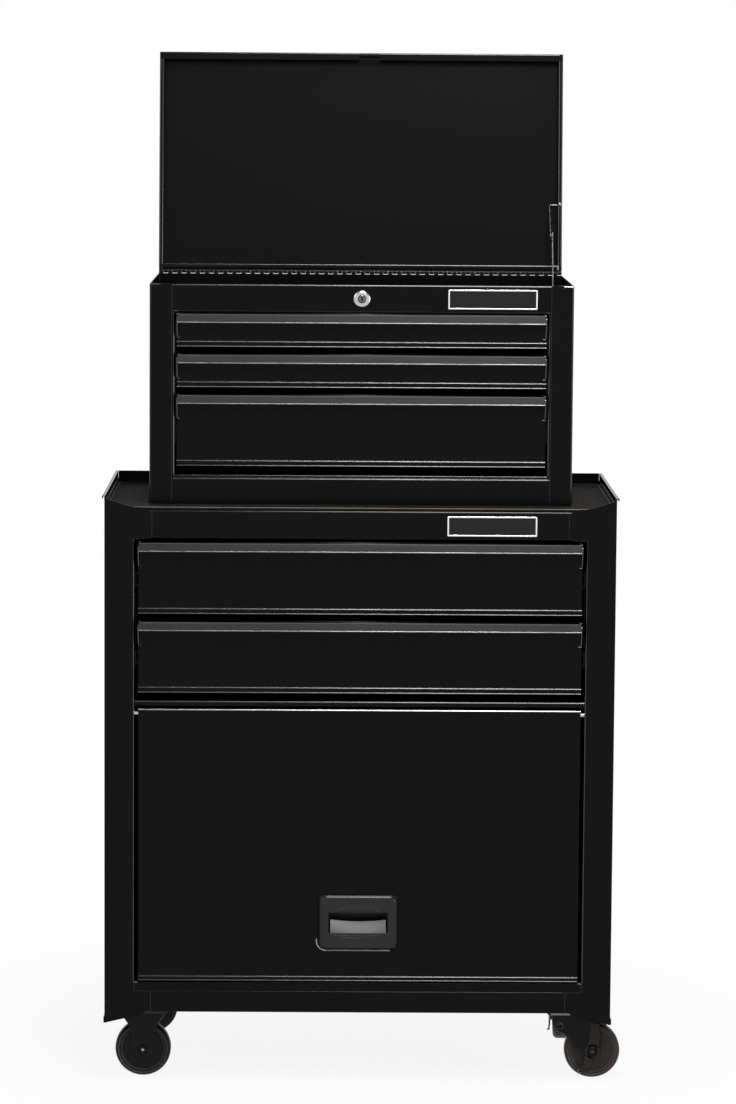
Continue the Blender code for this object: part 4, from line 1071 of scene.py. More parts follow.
    def tray(self) -> None:
        """The tray floor with its upturned edges."""
        low, high = span("cabinet_top")
        middle = SHEET / 2
        pan = Shape.fold(
            [
                (low.x + middle, high.z), (low.x + middle, low.z + middle),
                (high.x - middle, low.z + middle), (high.x - middle, high.z),
            ],
            Axis.Y, low.y, high.y, 1.0,
        )
        rear = Shape.block((low.x + 2, high.y - SHEET, low.z + SHEET), (high.x - 2, high.y, high.z))
        make_piece("cabinet_tray", pan.add(rear), ENAMEL, self.body, ("cabinet_top",))

    def mat(self) -> None:
        """The mat with ribs that run from front to back."""
        low, high = span("top_mat")
        floor = Shape.prism(
            rectangle(low.x, high.x, low.y, high.y, self.mat_corner), Axis.Z, low.z, high.z - self.rib_height
        )
        count = int((high.x - low.x - self.rib_pitch) / self.rib_pitch)
        start = (low.x + high.x - count * self.rib_pitch) / 2
        base = high.z - self.rib_height - self.rib_root
        shoulder = high.z - self.rib_round
        half = self.rib_width / 2
        for i in range(count + 1):
            x = start + i * self.rib_pitch
            near = min(x - low.x, high.x - x)
            short = self.mat_corner - near
            cut = self.mat_corner - math.sqrt(max(self.mat_corner**2 - short**2, 0)) if short > 0 else 0.0
            section = [
                (x - half, base), (x + half, base),
                (x + half * 0.7, shoulder), (x, high.z), (x - half * 0.7, shoulder),
            ]
            first_y = low.y + cut + self.rib_end
            last_y = high.y - cut - self.rib_end
            # Rib tops are painted lighter, most of all in the front strip, standing for the overhead light that
            # falls there: painted light.
            for start_y, end_y, wear_and_highlight in (
                (first_y, self.strip, WearAndHighlight.BARE), (max(first_y, self.strip), last_y, WearAndHighlight.EDGE),
            ):
                if end_y > start_y:
                    rib = Shape.prism(section, Axis.Y, start_y, end_y)
                    floor.add(rib.worn_with_highlight(wear_and_highlight, lambda middle, normal: normal.z > 0.3 or normal.y < -0.9))
        edge = self.border
        inside = rectangle(low.x + edge, high.x - edge, low.y + edge, high.y - edge, self.mat_corner - edge)
        border = Shape.prism(
            rectangle(low.x, high.x, low.y, high.y, self.mat_corner), Axis.Z, base, high.z, (inside,)
        )
        # The border's top is painted lighter, and its front run brighter still: painted highlight.
        border.worn_with_highlight(WearAndHighlight.EDGE, lambda middle, normal: normal.z > 0.3)
        floor.add(border.worn_with_highlight(WearAndHighlight.BRIGHT, lambda middle, normal: middle.y < low.y + 1.7 and normal.y < 0.3))
        make_piece("tray_mat", floor, MAT_RUBBER, self.body, ("top_mat",))


@dataclass
class ChestShell:
    """The fixed sheets of the chest."""

    body: str = "carcass"
    half: float = CHEST_HALF
    opening_half: float = 246.2
    front: float = CHEST_FRONT
    back_y: float = CHEST_BACK
    base: float = 771.1
    top: float = 1061.2
    face: float = CHEST_FACE
    header_bottom: float = 1024.2
    sill_top: float = 805.0
    step_top: float = 809.3
    lock_z: float = LOCK_HEIGHT
    lock_bore: float = 8.3
    seam_reach: float = 3.4
    rear_return: float = 15.0
    rear_inset: float = 1.8
    corner_run: float = 13.0
    corner_end: float = 1.2
    corner_drop: float = 2.4
    corner_depth: float = 8.0
    hook_slot: Point = (-2.5, 21.9)

    def build(self) -> None:
        """Make all its pieces."""
        for side, word in ((1, "right"), (-1, "left")):
            self.side(side, word)
        self.header()
        self.sill()
        self.back()
        for node in ("chest_bottom", "chest_till_floor"):
            dress(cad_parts[node], ENAMEL)
        for node in ("chest_slides_left", "chest_slides_right"):
            dress(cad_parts[node], SLIDE_STEEL)

    def side(self, side: int, word: str) -> None:
        """A side with its post and rear return.

        Args:
            side: 1 for the right, -1 for the left.
            word: the side's name.
        """
        middle = SHEET / 2
        seam = self.opening_half + self.seam_reach
        # Its bends and front seam are painted lighter: painted highlight.
        wall = Shape.fold(
            [
                (seam, self.front + middle), (self.half - middle, self.front + middle),
                (self.half - middle, self.back_y - self.rear_inset),
                (self.half - self.rear_return, self.back_y - self.rear_inset),
            ],
            Axis.Z, self.base, self.top, 1.8, wear_and_highlight=WearAndHighlight.FAINT,
        )
        wall.eased(0.5, WearAndHighlight.EDGE, lambda m: m.x < seam + TOUCH and m.y < self.front + TOUCH)
        start, end = self.half - self.corner_run, self.half - self.corner_end
        low = self.top - self.corner_drop
        rear = self.front + self.corner_depth
        wall.minus(Shape.block((start, self.front - 1, low), (end, rear, self.top + 1)))
        inner = Shape.fold(
            [
                (seam, self.front + middle), (self.opening_half + middle, self.front + middle),
                (self.opening_half + middle, self.front + 6),
            ],
            Axis.Z, self.step_top + GAP, self.header_bottom - GAP, 2.6,
        )
        # The top corner is painted lighter, fully bright on the right side, where the light falls: painted
        # highlight.
        corner = Shape.fold(
            [
                (self.front + middle, low), (self.front + middle, self.top - middle),
                (rear, self.top - middle),
            ],
            Axis.X, start, end, 1.6, wear_and_highlight=WearAndHighlight.BARE if side > 0 else WearAndHighlight.EDGE,
        )
        shape = wall.add(inner, corner).flipped(side)
        name = f"chest_side_{word}"
        make_piece(f"{name}_sheet", shape, ENAMEL, self.body, (name,))

    def header(self) -> None:
        """The folded rail that holds the lock."""
        middle = SHEET / 2
        half = self.half - RAIL_INSET
        rail = Shape.fold(
            [
                (self.face + 10, self.header_bottom + middle), (self.face + middle, self.header_bottom + middle),
                (self.face + middle, self.top - middle), (self.face + 10, self.top - middle),
            ],
            Axis.X, -half, half, 1.5,
        )
        bore = Shape.prism(ring((0, self.lock_z), self.lock_bore, 32), Axis.Y, self.face - 2, self.face + 3)
        slot = Shape.block(
            (self.hook_slot[0], self.face + 1.5, self.top - 3), (self.hook_slot[1], self.face + 3.6, self.top + 2)
        )
        make_piece("chest_header_rail", rail.minus(bore, slot), ENAMEL, self.body, ("chest_header",))

    def sill(self) -> None:
        """The folded rail below the drawers."""
        middle = SHEET / 2
        half = self.half - RAIL_INSET
        step = self.face + 2.2 + middle
        shape = Shape.fold(
            [
                (self.face + middle, self.base), (self.face + middle, self.sill_top - middle),
                (step, self.sill_top - middle), (step, self.step_top - middle),
                (self.face + 10, self.step_top - middle),
            ],
            Axis.X, -half, half, 1.0,
        )
        make_piece("chest_sill_rail", shape, ENAMEL, self.body, ("chest_sill",))

    def back(self) -> None:
        """The back sheet."""
        shape = Shape.block((-self.half, self.back_y - SHEET, self.base), (self.half, self.back_y, self.top))
        make_piece("chest_back_sheet", shape, ENAMEL, self.body, ("chest_back",), 0.4)


@dataclass
class Drawer:
    """A drawer with its folded front, pan, runners, ears and full-width pull."""

    node: str
    pan_half: float
    runner_half: float
    back_y: float
    band: float = 13.3
    reach: float = 12.5
    tilt: float = 1.0
    ledge_step: float = 1.5
    ledge_height: float = 6.5
    hem_step: float = 1.0
    hem_height: float = 1.2
    ear_taper: float = 20.0
    pull_sheet: float = 1.5
    bead: float = 1.0
    pull_corner: float = 4.5
    fold_return: float = 9.0
    pan_lift: float = 3.0
    pan_drop: float = 8.0
    runner_rise: float = 7.0
    foot: float = 0.55
    fold_wear_and_highlight: WearAndHighlight = WearAndHighlight.BRIGHT
    low: Vector = field(init=False)
    high: Vector = field(init=False)

    def __post_init__(self) -> None:
        """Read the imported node's box: the front's foot and sides, and the pull's top."""
        self.low, _ = span(self.node)
        self.high = span(f"{self.node}_pull")[1]
        self.half = self.high.x + SHEET + GAP
        self.face = self.high.y + GAP
        self.top = self.high.z

    def build(self) -> None:
        """Make the drawer and its pull."""
        face = self.face
        bottom = self.low.z
        top = self.top - 1.5
        hem = bottom + self.hem_height
        ledge = hem + self.ledge_height
        middle = SHEET / 2
        front = Shape.fold(
            [
                (face + self.fold_return, top - middle),
                (face + middle, top - middle), (face + middle, ledge - middle),
                (face - self.ledge_step + middle, ledge - middle), (face - self.ledge_step + middle, hem - 0.1),
                (face - self.ledge_step - self.hem_step + middle, hem - 0.1),
                (face - self.ledge_step - self.hem_step + middle, bottom + middle),
                (face + self.fold_return, bottom + middle),
            ],
            Axis.X, -self.half, self.half, 0.7, wear_and_highlight=self.fold_wear_and_highlight,
        )
        pan_low = bottom + self.pan_lift
        pan_top = self.top - self.pan_drop
        edge = self.pan_half - middle
        pan = Shape.fold(
            [(-edge + 2.5, pan_top - 1.2), (-edge, pan_top - 0.5), (-edge, pan_low + middle),
             (edge, pan_low + middle), (edge, pan_top - 0.5), (edge - 2.5, pan_top - 1.2)],
            Axis.Y, face + SHEET, self.back_y, 0.9,
        )
        rear = Shape.block(
            (-edge, self.back_y - SHEET, pan_low + SHEET), (edge, self.back_y, pan_top - 1)
        )
        inner = Shape.block(
            (-edge, face + SHEET, pan_low + SHEET), (edge, face + SHEET + 0.8, pan_top - 1)
        )
        centre = (pan_top + pan_low) / 2
        parts = [pan, rear, inner]
        for side in (1, -1):
            runner = Shape.fold(
                [
                    (self.pan_half - middle, centre - self.runner_rise),
                    (self.runner_half - middle, centre - self.runner_rise),
                    (self.runner_half - middle, centre + self.runner_rise),
                    (self.pan_half - middle, centre + self.runner_rise),
                ],
                Axis.Y, face + 2.7, self.back_y, 1.2,
            ).flipped(side)
            parts.append(runner)
            parts.append(self.ear().flipped(side))
        make_piece(f"{self.node}_box", front.add(*parts), ENAMEL, self.node, (self.node,))
        self.pull()

    def ear(self) -> Shape:
        """The plate that closes the right end of the pull.

        Returns:
            The plate.
        """
        face = self.face
        band = self.top - self.band
        top = self.top - self.pull_corner
        outline = rounded(
            [
                (face + 0.5, top), (face - self.reach, top),
                (face - self.reach - self.tilt, band), (face - 2.2, band - self.ear_taper + 1),
                (face + 0.5, band - self.ear_taper),
            ],
            2.2, True, 4,
        )
        plate = Shape.prism(outline, Axis.X, self.half - SHEET, self.half)
        # The ear's front edges are painted lighter: painted highlight.
        plate.worn_with_highlight(WearAndHighlight.SHINY, lambda middle, normal: normal.y < -0.4 and abs(normal.x) < 0.1)
        low = band - self.ear_taper
        # A small wire at the ear's foot is painted lighter as a painted highlight line.
        ends = [(self.half - 4.0, face - 0.7, low + 0.4), (self.half - 0.6, face - 0.9, low)]
        foot = Shape.wire(ends, self.foot, 8)
        return plate.add(foot.worn_with_highlight(WearAndHighlight.EDGE, everywhere))

    def pull(self) -> None:
        """The pull: flange, hood, hanging band with a bead at its foot, and round upper corners."""
        middle = self.pull_sheet / 2
        face = self.face
        back = face - GAP - middle
        front = face - self.reach - self.tilt + self.bead
        path = [
            (back, self.top - 11), (back, self.top - middle),
            (face - self.reach + middle, self.top - self.tilt - middle),
            (front - 0.3 + middle, self.top - self.band + middle),
            (front + middle + 2, self.top - self.band + middle),
        ]
        half = self.half - SHEET - GAP
        shape = Shape.fold(path, Axis.X, -half, half, 1.3, self.pull_sheet, WearAndHighlight.NONE)
        # The bead along the band's foot is painted bright as a painted highlight line.
        bead = Shape.prism(
            arc((front - 0.1, self.top - self.band + 1.0), self.bead - 0.1, 0, 360, 14)[:-1], Axis.X, -half, half
        )
        shape.add(bead.worn_with_highlight(WearAndHighlight.BRIGHT))
        radius = self.pull_corner
        for side in (1, -1):
            corner = Shape.prism(
                [
                    (half + 1, self.top + 1), (half - radius, self.top + 1),
                    *arc((half - radius, self.top - radius), radius, 90, 0, 6), (half + 1, self.top - radius),
                ],
                Axis.Y, front - 4, face - GAP - self.pull_sheet - 0.2,
            )
            shape.minus(corner.flipped(side))
        make_piece(f"{self.node}_pull_strip", shape, PULL_METAL, self.node, (f"{self.node}_pull",))


@dataclass
class Door:
    """The door with its cup pull and its two pins."""

    body: str = "door"
    half: float = 292.0
    face: float = CABINET_FACE
    top: float = 503.4
    bottom: float = 138.9
    depth: float = 14.0
    pivot: Point = (7.3, 497.0)
    bezel_half: float = 54.0
    bezel_low: float = 182.7
    bezel_high: float = 255.0
    bezel_proud: float = 6.0
    bezel_corner: float = 9.5
    mouth_half: float = 39.3
    mouth_low: float = 204.3
    mouth_high: float = 232.2
    cup_depth: float = 26.0
    cup_wall: float = 3.0
    bezel_slope: float = 3.0
    bezel_flange: float = 2.7
    scoop_rise: float = 17.4
    scoop_sag: float = 2.8
    scoop_depth: float = 8.6
    brow_low_half: float = 30.0
    brow_high_half: float = 20.4
    brow_height: float = 7.6
    hook_rise: float = 7.5
    hem_height: float = 1.2
    ledge_height: float = 5.2
    ledge_step: float = 1.5
    hem_step: float = 2.5
    pin_bore: float = 3.3
    lip_aside: float = 1.0
    lip_drop: float = 2.3
    lip_corner: float = 3.0
    lip_radius: float = 1.15
    pin_seat: float = 298.5

    def build(self) -> None:
        """Make the door, its pull and pins."""
        self.panel()
        self.cup()
        for word, side in (("left", -1), ("right", 1)):
            self.pin(word, side)

    def panel(self) -> None:
        """The folded door sheet with its window."""
        face = self.face
        middle = SHEET / 2
        hem = self.bottom + self.hem_height
        ledge = hem + self.ledge_height
        step = face - self.ledge_step + middle
        foot = face - self.hem_step + middle
        sheet = Shape.fold(
            [
                (face + self.depth, self.top - middle), (face + middle, self.top - middle),
                (face + middle, ledge - middle), (step, ledge - middle), (step, hem - 0.1), (foot, hem - 0.1),
                (foot, self.bottom + middle), (face + self.depth, self.bottom + middle),
            ],
            Axis.X, -self.half, self.half, 1.5,
        )
        # The top bend is painted fully bright: painted highlight.
        sheet.worn_with_highlight(WearAndHighlight.BARE, lambda middle, normal: middle.z > self.top - 4 and 0.1 < normal.z < 0.99)
        cup_half = self.mouth_half + self.cup_wall + GAP
        window = Shape.block(
            (-cup_half, face - 2, self.mouth_low - self.cup_wall - GAP),
            (cup_half, face + 3, self.mouth_high + self.hook_rise + self.cup_wall + GAP),
        )
        sheet.minus(window)
        for side in (1, -1):
            flange = Shape.prism(
                rectangle(face + SHEET, face + self.depth, self.bottom + SHEET, self.top - SHEET),
                Axis.X, self.half - SHEET, self.half,
                (ring(self.pivot, self.pin_bore, 24),),
            ).flipped(side)
            sheet.add(flange)
        sheet.add(self.lip())
        make_piece("door_panel", sheet, ENAMEL, self.body, ("door",))

    def outline(self, aside: float, along: float, depth: float) -> list[tuple]:
        """The bezel's outline, larger or smaller, at a depth.

        Args:
            aside: how much wider it is on each side.
            along: how much higher it is above and below.
            depth: its Y.

        Returns:
            The points.
        """
        loop = rectangle(
            -self.bezel_half - aside, self.bezel_half + aside, self.bezel_low - along, self.bezel_high + along,
            self.bezel_corner + along,
        )
        return [(x, depth, z) for x, z in loop]

    def lip(self) -> Shape:
        """The lip of the sheet that shows below the bezel and round its lower corners, painted as a bright highlight
        line with a brightest lower-left corner.

        Returns:
            The solid.
        """
        half = self.bezel_half + self.lip_aside
        low = self.bezel_low - self.lip_drop
        radius = self.bezel_corner + self.lip_corner
        depth = self.face - 0.1
        corner = [(x, depth, z) for x, z in arc((half - radius, low + radius), radius, 0, -90, 10)]
        line = [(half, depth, low + radius + 3), *corner]
        line += [(-x, y, z) for x, y, z in reversed(line)]
        shape = Shape.wire(line, self.lip_radius)
        # The lip is painted faintly lighter, its straight run bright and its lower-left corner fully bright: painted
        # highlight.
        shape.worn_with_highlight(WearAndHighlight.TRACE, everywhere)
        shape.worn_with_highlight(WearAndHighlight.BRIGHT, lambda middle, normal: abs(middle.x) < half - radius)
        bare_top = low + radius + 2
        return shape.worn_with_highlight(WearAndHighlight.BARE, lambda middle, normal: middle.x < radius - half and middle.z < bare_top)

    def cup(self) -> None:
        """The recessed pull: bezel, finger mouth with its scoop, and raised brow."""
        face = self.face
        front = face - self.bezel_proud + 0.9
        slope = self.bezel_slope
        flange = self.bezel_flange
        inner = flange + slope
        sections = [
            (0.0, 0.0, face - GAP), (0.0, 0.0, face - 0.9),
            (-flange, -0.1, face - 1.1), (-flange, -0.1, front + 2.8), (-flange - 0.35, -0.45, front + 2.2),
            (1.0 - inner, 1.0 - slope, front + 0.55), (0.35 - inner, 0.35 - slope, front + 0.12),
            (-inner, -slope, front),
        ]
        bezel = Shape.lofted([self.outline(*section) for section in sections])
        edge = self.bezel_half - flange
        # The bezel's sides and its upper edge line are painted lighter: painted highlight.
        bezel.worn_with_highlight(WearAndHighlight.TRACE, lambda middle, normal: middle.y > front + 2.9 and abs(middle.x) > edge)
        bezel.worn_with_highlight(WearAndHighlight.EDGE, lambda middle, normal: normal.z > 0.15 and front + 0.05 < middle.y < front + 0.4)
        cup_half = self.mouth_half + self.cup_wall
        cup = Shape.block(
            (-cup_half, face - GAP - 0.5, self.mouth_low - self.cup_wall),
            (cup_half, face + self.cup_depth + self.cup_wall, self.mouth_high + self.hook_rise + self.cup_wall),
        )
        hook = self.mouth_high + self.hook_rise
        cavity = Shape.prism(
            [
                (front - 2, self.mouth_low), (face + self.cup_depth, self.mouth_low),
                (face + self.cup_depth, hook), (face + self.cup_wall, hook),
                (face + self.cup_wall, self.mouth_high), (front - 2, self.mouth_high),
            ],
            Axis.X, -self.mouth_half, self.mouth_half,
        )
        shape = bezel.union(cup).minus(cavity)
        shape.add(self.scoop(front), self.brow(front), self.ledge(front))
        make_piece("door_pull_cup", shape, CUP_PLASTIC, self.body, ("door_pull",), 0.35)

    def scoop(self, front: float) -> Shape:
        """The sloping floor of the mouth, lower in its middle.

        Args:
            front: Y of the bezel's front.

        Returns:
            The solid.
        """
        rows = []
        edge = self.mouth_half
        low = self.mouth_low
        for share in (-1.0, -0.965, -0.94, -0.75, -0.5, -0.25, 0.0, 0.25, 0.5, 0.75, 0.94, 0.965, 1.0):
            rise = self.scoop_rise - self.scoop_sag * (1 - share * share)
            if abs(share) > 0.95:
                rise *= 0.06 if abs(share) == 1.0 else 0.6
            depth = self.scoop_depth
            rows.append([
                (edge * share, front + 0.5, low - 0.4), (edge * share, front + 0.5, low + 0.2),
                (edge * share, front + 0.5 + depth * 0.5, low + rise * 0.55),
                (edge * share, front + 0.5 + depth, low + rise),
                (edge * share, front + depth + 2.5, low + rise - 0.8),
                (edge * share, self.face + self.cup_depth + 0.2, low - 0.4),
            ])
        # The scoop's front-facing slope is painted lighter and shinier: painted highlight.
        return Shape.lofted(rows).worn_with_highlight(WearAndHighlight.EDGE, lambda middle, normal: normal.y < -0.2 and normal.z > 0.1)

    def brow(self, front: float) -> Shape:
        """The raised lip over the mouth.

        Args:
            front: Y of the bezel's front.

        Returns:
            The solid.
        """
        low = self.mouth_high + 1.2
        high = low + self.brow_height
        wide, slim = self.brow_low_half, self.brow_high_half
        root = front + 0.3
        back = [(-wide, root, low), (wide, root, low), (slim, root, high), (-slim, root, high)]
        crest = [
            (-wide + 4.5, front - 0.85, low + 0.8), (wide - 4.5, front - 0.85, low + 0.8),
            (slim - 1.5, front - 0.3, high - 1.6), (-slim + 1.5, front - 0.3, high - 1.6),
        ]
        shape = Shape.lofted([back, crest])
        # The brow's slanted ends and top are painted lighter: painted highlight.
        return shape.worn_with_highlight(WearAndHighlight.EDGE, lambda middle, normal: abs(normal.x) > 0.15 or normal.z > 0.15)

    def ledge(self, front: float) -> Shape:
        """Two low curved ribs under the mouth.

        Args:
            front: Y of the bezel's front.

        Returns:
            The solid.
        """
        shape = Shape()
        for drop, half, sag in ((2.6, 31.0, 1.2), (5.6, 22.0, 1.4)):
            points = [
                (half * t, front + 0.15, self.mouth_low - drop - sag * (1 - t * t))
                for t in (-1.0, -0.8, -0.5, -0.2, 0.2, 0.5, 0.8, 1.0)
            ]
            shape.add(Shape.wire(points, 0.55, 8))
        return shape

    def pin(self, word: str, side: int) -> None:
        """A pin that the door swings on.

        Args:
            word: the side's name.
            side: 1 for the right, -1 for the left.
        """
        low, high = span(f"door_pin_{word}")
        seat = self.pin_seat
        end = high.x if side > 0 else -low.x
        profile = [
            (0.0, self.half - 3), (2.5, self.half - 3), (3.0, self.half - 2.5), (3.0, seat), (4.4, seat),
            (5.0, seat + 0.5), (5.0, end - 0.6), (4.2, end), (0.0, end),
        ]
        shape = Shape.turned(profile, Axis.X, self.pivot, 24).flipped(side)
        name = f"door_pin_{word}"
        make_piece(f"{name}_turned", shape, ZINC, "carcass", (name,))


@dataclass
class Lid:
    """The open lid, its continuous hinge and its folding stay."""

    half: float = CHEST_HALF
    front: float = CHEST_FRONT
    back: float = CHEST_BACK
    base: float = 1061.5
    height: float = 20.0
    front_lip: float = 10.0
    rear_lip: float = 7.0
    side_lip: float = 5.6
    open_angle: float = 95.9
    knuckle: float = 2.8
    periods: int = 44
    leaf_start: float = 3.2
    leaf_width: float = 11.8
    upper_plane: float = 262.2
    lower_plane: float = 264.7
    wall_reach: float = 278.1
    upper_root: Point = (369.807, 1157.666)
    lower_root: Point = (294.0, 1034.0)
    elbow: Point = (330.85, 1117.51)
    rod: float = 1.05
    eye: float = 3.8
    rivet_y: float = 254.0
    strike: Point = (-2.5, 25.5)

    def __post_init__(self) -> None:
        """Work out the hinge's place and the turn from shut to open."""
        self.top = self.base + self.height
        self.hinge = Vector((0, self.back + GAP + self.knuckle, self.base + self.knuckle))
        self.opened = (
            Matrix.Translation(self.hinge)
            @ Matrix.Rotation(-math.radians(self.open_angle), 4, "X")
            @ Matrix.Translation(-self.hinge)
        )

    def build(self) -> None:
        """Make the lid, the hinge and the stay."""
        self.shell()
        self.leaves()
        self.stay()

    def shell(self) -> None:
        """The lid's sheet, drawn shut and turned open."""
        middle = SHEET / 2
        low = self.base + middle
        high = self.top - middle
        main = Shape.fold(
            [
                (self.front + self.front_lip, low), (self.front + middle, low), (self.front + middle, high),
                (self.back - middle, high), (self.back - middle, low), (self.back - self.rear_lip, low),
                (self.back - self.rear_lip, low + 4),
            ],
            Axis.X, -self.half + SHEET, self.half - SHEET, 1.6,
        )
        # The front lip's edge is painted faintly lighter: painted highlight.
        main.worn_with_highlight(WearAndHighlight.TRACE, lambda middle, normal: normal.z < -0.9 and middle.z < low)
        strike = Shape.block(
            (self.strike[0], self.front + 1.3, self.base - 2), (self.strike[1], self.front + 7.3, self.base + 3)
        )
        main.minus(strike)
        for side in (1, -1):
            flange = Shape.fold(
                [
                    (self.half - self.side_lip, low + 3), (self.half - self.side_lip, low),
                    (self.half - middle, low), (self.half - middle, high), (self.half - 4, high - 0.1),
                ],
                Axis.Y, self.front + 0.4, self.back - 0.4, 1.4,
            )
            # The side lips' edges are painted faintly lighter: painted highlight.
            flange.worn_with_highlight(WearAndHighlight.FAINT, lambda middle, normal: normal.z < -0.9 and middle.z < low)
            main.add(flange.flipped(side))
        # The small tab and the rivet are painted fully bright: painted highlight.
        tab = Shape.block(
            (self.half - 6.4, self.back - 7.0, low - 0.75), (self.half - 4.6, self.back - 1.2, low)
        ).worn_with_highlight(WearAndHighlight.BARE, everywhere)
        rivet = Shape.turned(
            [(0.0, -1.3), (1.1, -1.2), (1.9, -0.6), (2.1, 0.2), (0.0, 0.2)], Axis.Z,
            (self.half - 3.2, self.rivet_y), 24,
        ).moved(Matrix.Translation((0, 0, low - 0.4))).worn_with_highlight(WearAndHighlight.BARE, everywhere)
        main.add(tab, rivet)
        make_piece("lid_shell", main.moved(self.opened), ENAMEL, "lid", ("lid",))

    def leaves(self) -> None:
        """The two leaves of the continuous hinge with their knuckles."""
        period = 2 * self.half / self.periods
        length = period / 2 - 0.25
        face = self.hinge.y - self.knuckle
        for name, rise, first, body in (
            ("lid_hinge_fixed_leaf", 1, 0, "carcass"), ("lid_hinge_moving_leaf", -1, 1, "lid"),
        ):
            near = self.hinge.z - rise * self.leaf_start
            far = near - rise * self.leaf_width
            leaf = Shape.block(
                (-self.half + GAP, face, min(near, far)), (self.half - GAP, face + SHEET, max(near, far))
            )
            section = self.knuckle_section(rise)
            for i in range(self.periods):
                start = -self.half + GAP + (i + first / 2) * period
                leaf.add(Shape.prism(section, Axis.X, start, min(start + length, self.half - GAP)))
            if rise < 0:
                leaf.moved(self.opened)
            make_piece(f"{name}_rolled", leaf, DARK_STEEL, body, (name,))

    def knuckle_section(self, rise: int) -> Path:
        """Section of a rolled knuckle with the tab to its leaf.

        Args:
            rise: 1 if the leaf runs down from the knuckle, -1 if it runs up.

        Returns:
            The outline in Y and Z.
        """
        outside = arc((0, 0), self.knuckle, 180, -100, 14)
        inside = arc((0, 0), self.knuckle - SHEET, -100, 180, 14)
        foot = -(self.leaf_start + 0.5)
        local = [(-self.knuckle, foot), *outside, *inside, (-self.knuckle + SHEET, foot)]
        return [(self.hinge.y + y, self.hinge.z + rise * z) for y, z in local]

    def stay(self) -> None:
        """The two wires, their eyes side by side at the elbow."""
        for name, plane, root in (
            ("lid_stay_upper_rod", self.upper_plane, self.upper_root),
            ("lid_stay_lower_rod", self.lower_plane, self.lower_root),
        ):
            run = Vector(self.elbow) - Vector(root)
            angle = math.degrees(math.atan2(run.y, run.x))
            eye = arc(self.elbow, self.eye, angle - 290 + 180, angle + 180, 32)
            line = [(plane, y, z) for y, z in eye]
            bend = [(plane + 1.5, root[0], root[1]), (self.wall_reach, root[0], root[1])]
            near_root = Vector(root) + run.normalized() * 1.5
            line += [(plane, near_root.x, near_root.y), *bend]
            body = "stay_upper" if "upper" in name else "stay_lower"
            make_piece(f"{name}_wire", Shape.wire(line, self.rod), STAY_STEEL, body, (name,))
        dress(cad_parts["lid_hinge_pin"], ZINC)


@dataclass
class Lock:
    """The lock in the chest's header."""

    face: float = CHEST_FACE
    centre: Point = (0.0, LOCK_HEIGHT)
    flange: float = 11.0
    proud: float = 2.0
    plug: float = 5.0
    barrel: float = 8.0
    key_half: float = 0.8
    key_rise: float = 3.3

    def build(self) -> None:
        """Make the body and the plug, and give the imported hook its finish."""
        front = self.face - GAP - self.proud
        rear = self.face + 1.5
        bore = self.plug + 0.2
        body = Shape.turned(
            [
                (bore, front + 0.4), (bore + 0.5, front), (self.flange - 3.6, front),
                (self.flange - 1.2, front + 0.5), (self.flange - 0.3, front + 1.1),
                (self.flange, self.face - GAP), (self.barrel, self.face - GAP), (self.barrel, rear), (bore, rear),
            ],
            Axis.Y, self.centre, 64,
        )
        make_piece("lock_body", body, ZINC, "carcass", ("lock_cylinder",))
        nose = front - 0.5
        core = Shape.turned(
            [
                (0.0, nose), (self.plug - 0.5, nose), (self.plug, nose + 0.4), (self.plug, rear), (3.0, rear),
                (3.0, self.face + 4.4), (0.0, self.face + 4.4),
            ],
            Axis.Y, self.centre, 48,
        )
        keyway = Shape.block(
            (-self.key_half, nose - 2, self.centre[1] - self.key_rise),
            (self.key_half, nose + 3, self.centre[1] + self.key_rise),
        ).union(Shape.block((-0.2, nose - 2, self.centre[1] - 1.2), (1.5, nose + 3, self.centre[1] + 0.4)))
        make_piece("lock_core", core.minus(keyway), CORE_METAL, "lock", ("lock_plug",))
        dress(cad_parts["lock_cam"], ZINC)


@dataclass
class Nameplate:
    """A bare plate with a raised rim, with nothing written on it."""

    name: str
    x0: float
    x1: float
    z0: float
    z1: float
    face: float
    rim: float = 1.8
    corner: float = 1.2
    inner_corner: float = 0.6
    plate_proud: float = 0.5
    rim_proud: float = 0.9

    def build(self) -> None:
        """Make the plate and its rim."""
        rim = self.rim
        outer = rectangle(self.x0, self.x1, self.z0, self.z1, self.corner)
        inner = rectangle(self.x0 + rim, self.x1 - rim, self.z0 + rim, self.z1 - rim, self.inner_corner)
        plate = Shape.prism(outer, Axis.Y, self.face - self.plate_proud, self.face - 0.05)
        make_piece(f"{self.name}_plate", plate, PLATE_BLACK, "carcass")
        frame_rim = Shape.prism(outer, Axis.Y, self.face - self.rim_proud, self.face - self.plate_proud, (inner,))
        make_piece(f"{self.name}_rim", frame_rim, RIM_METAL, "carcass", (), 0.15)


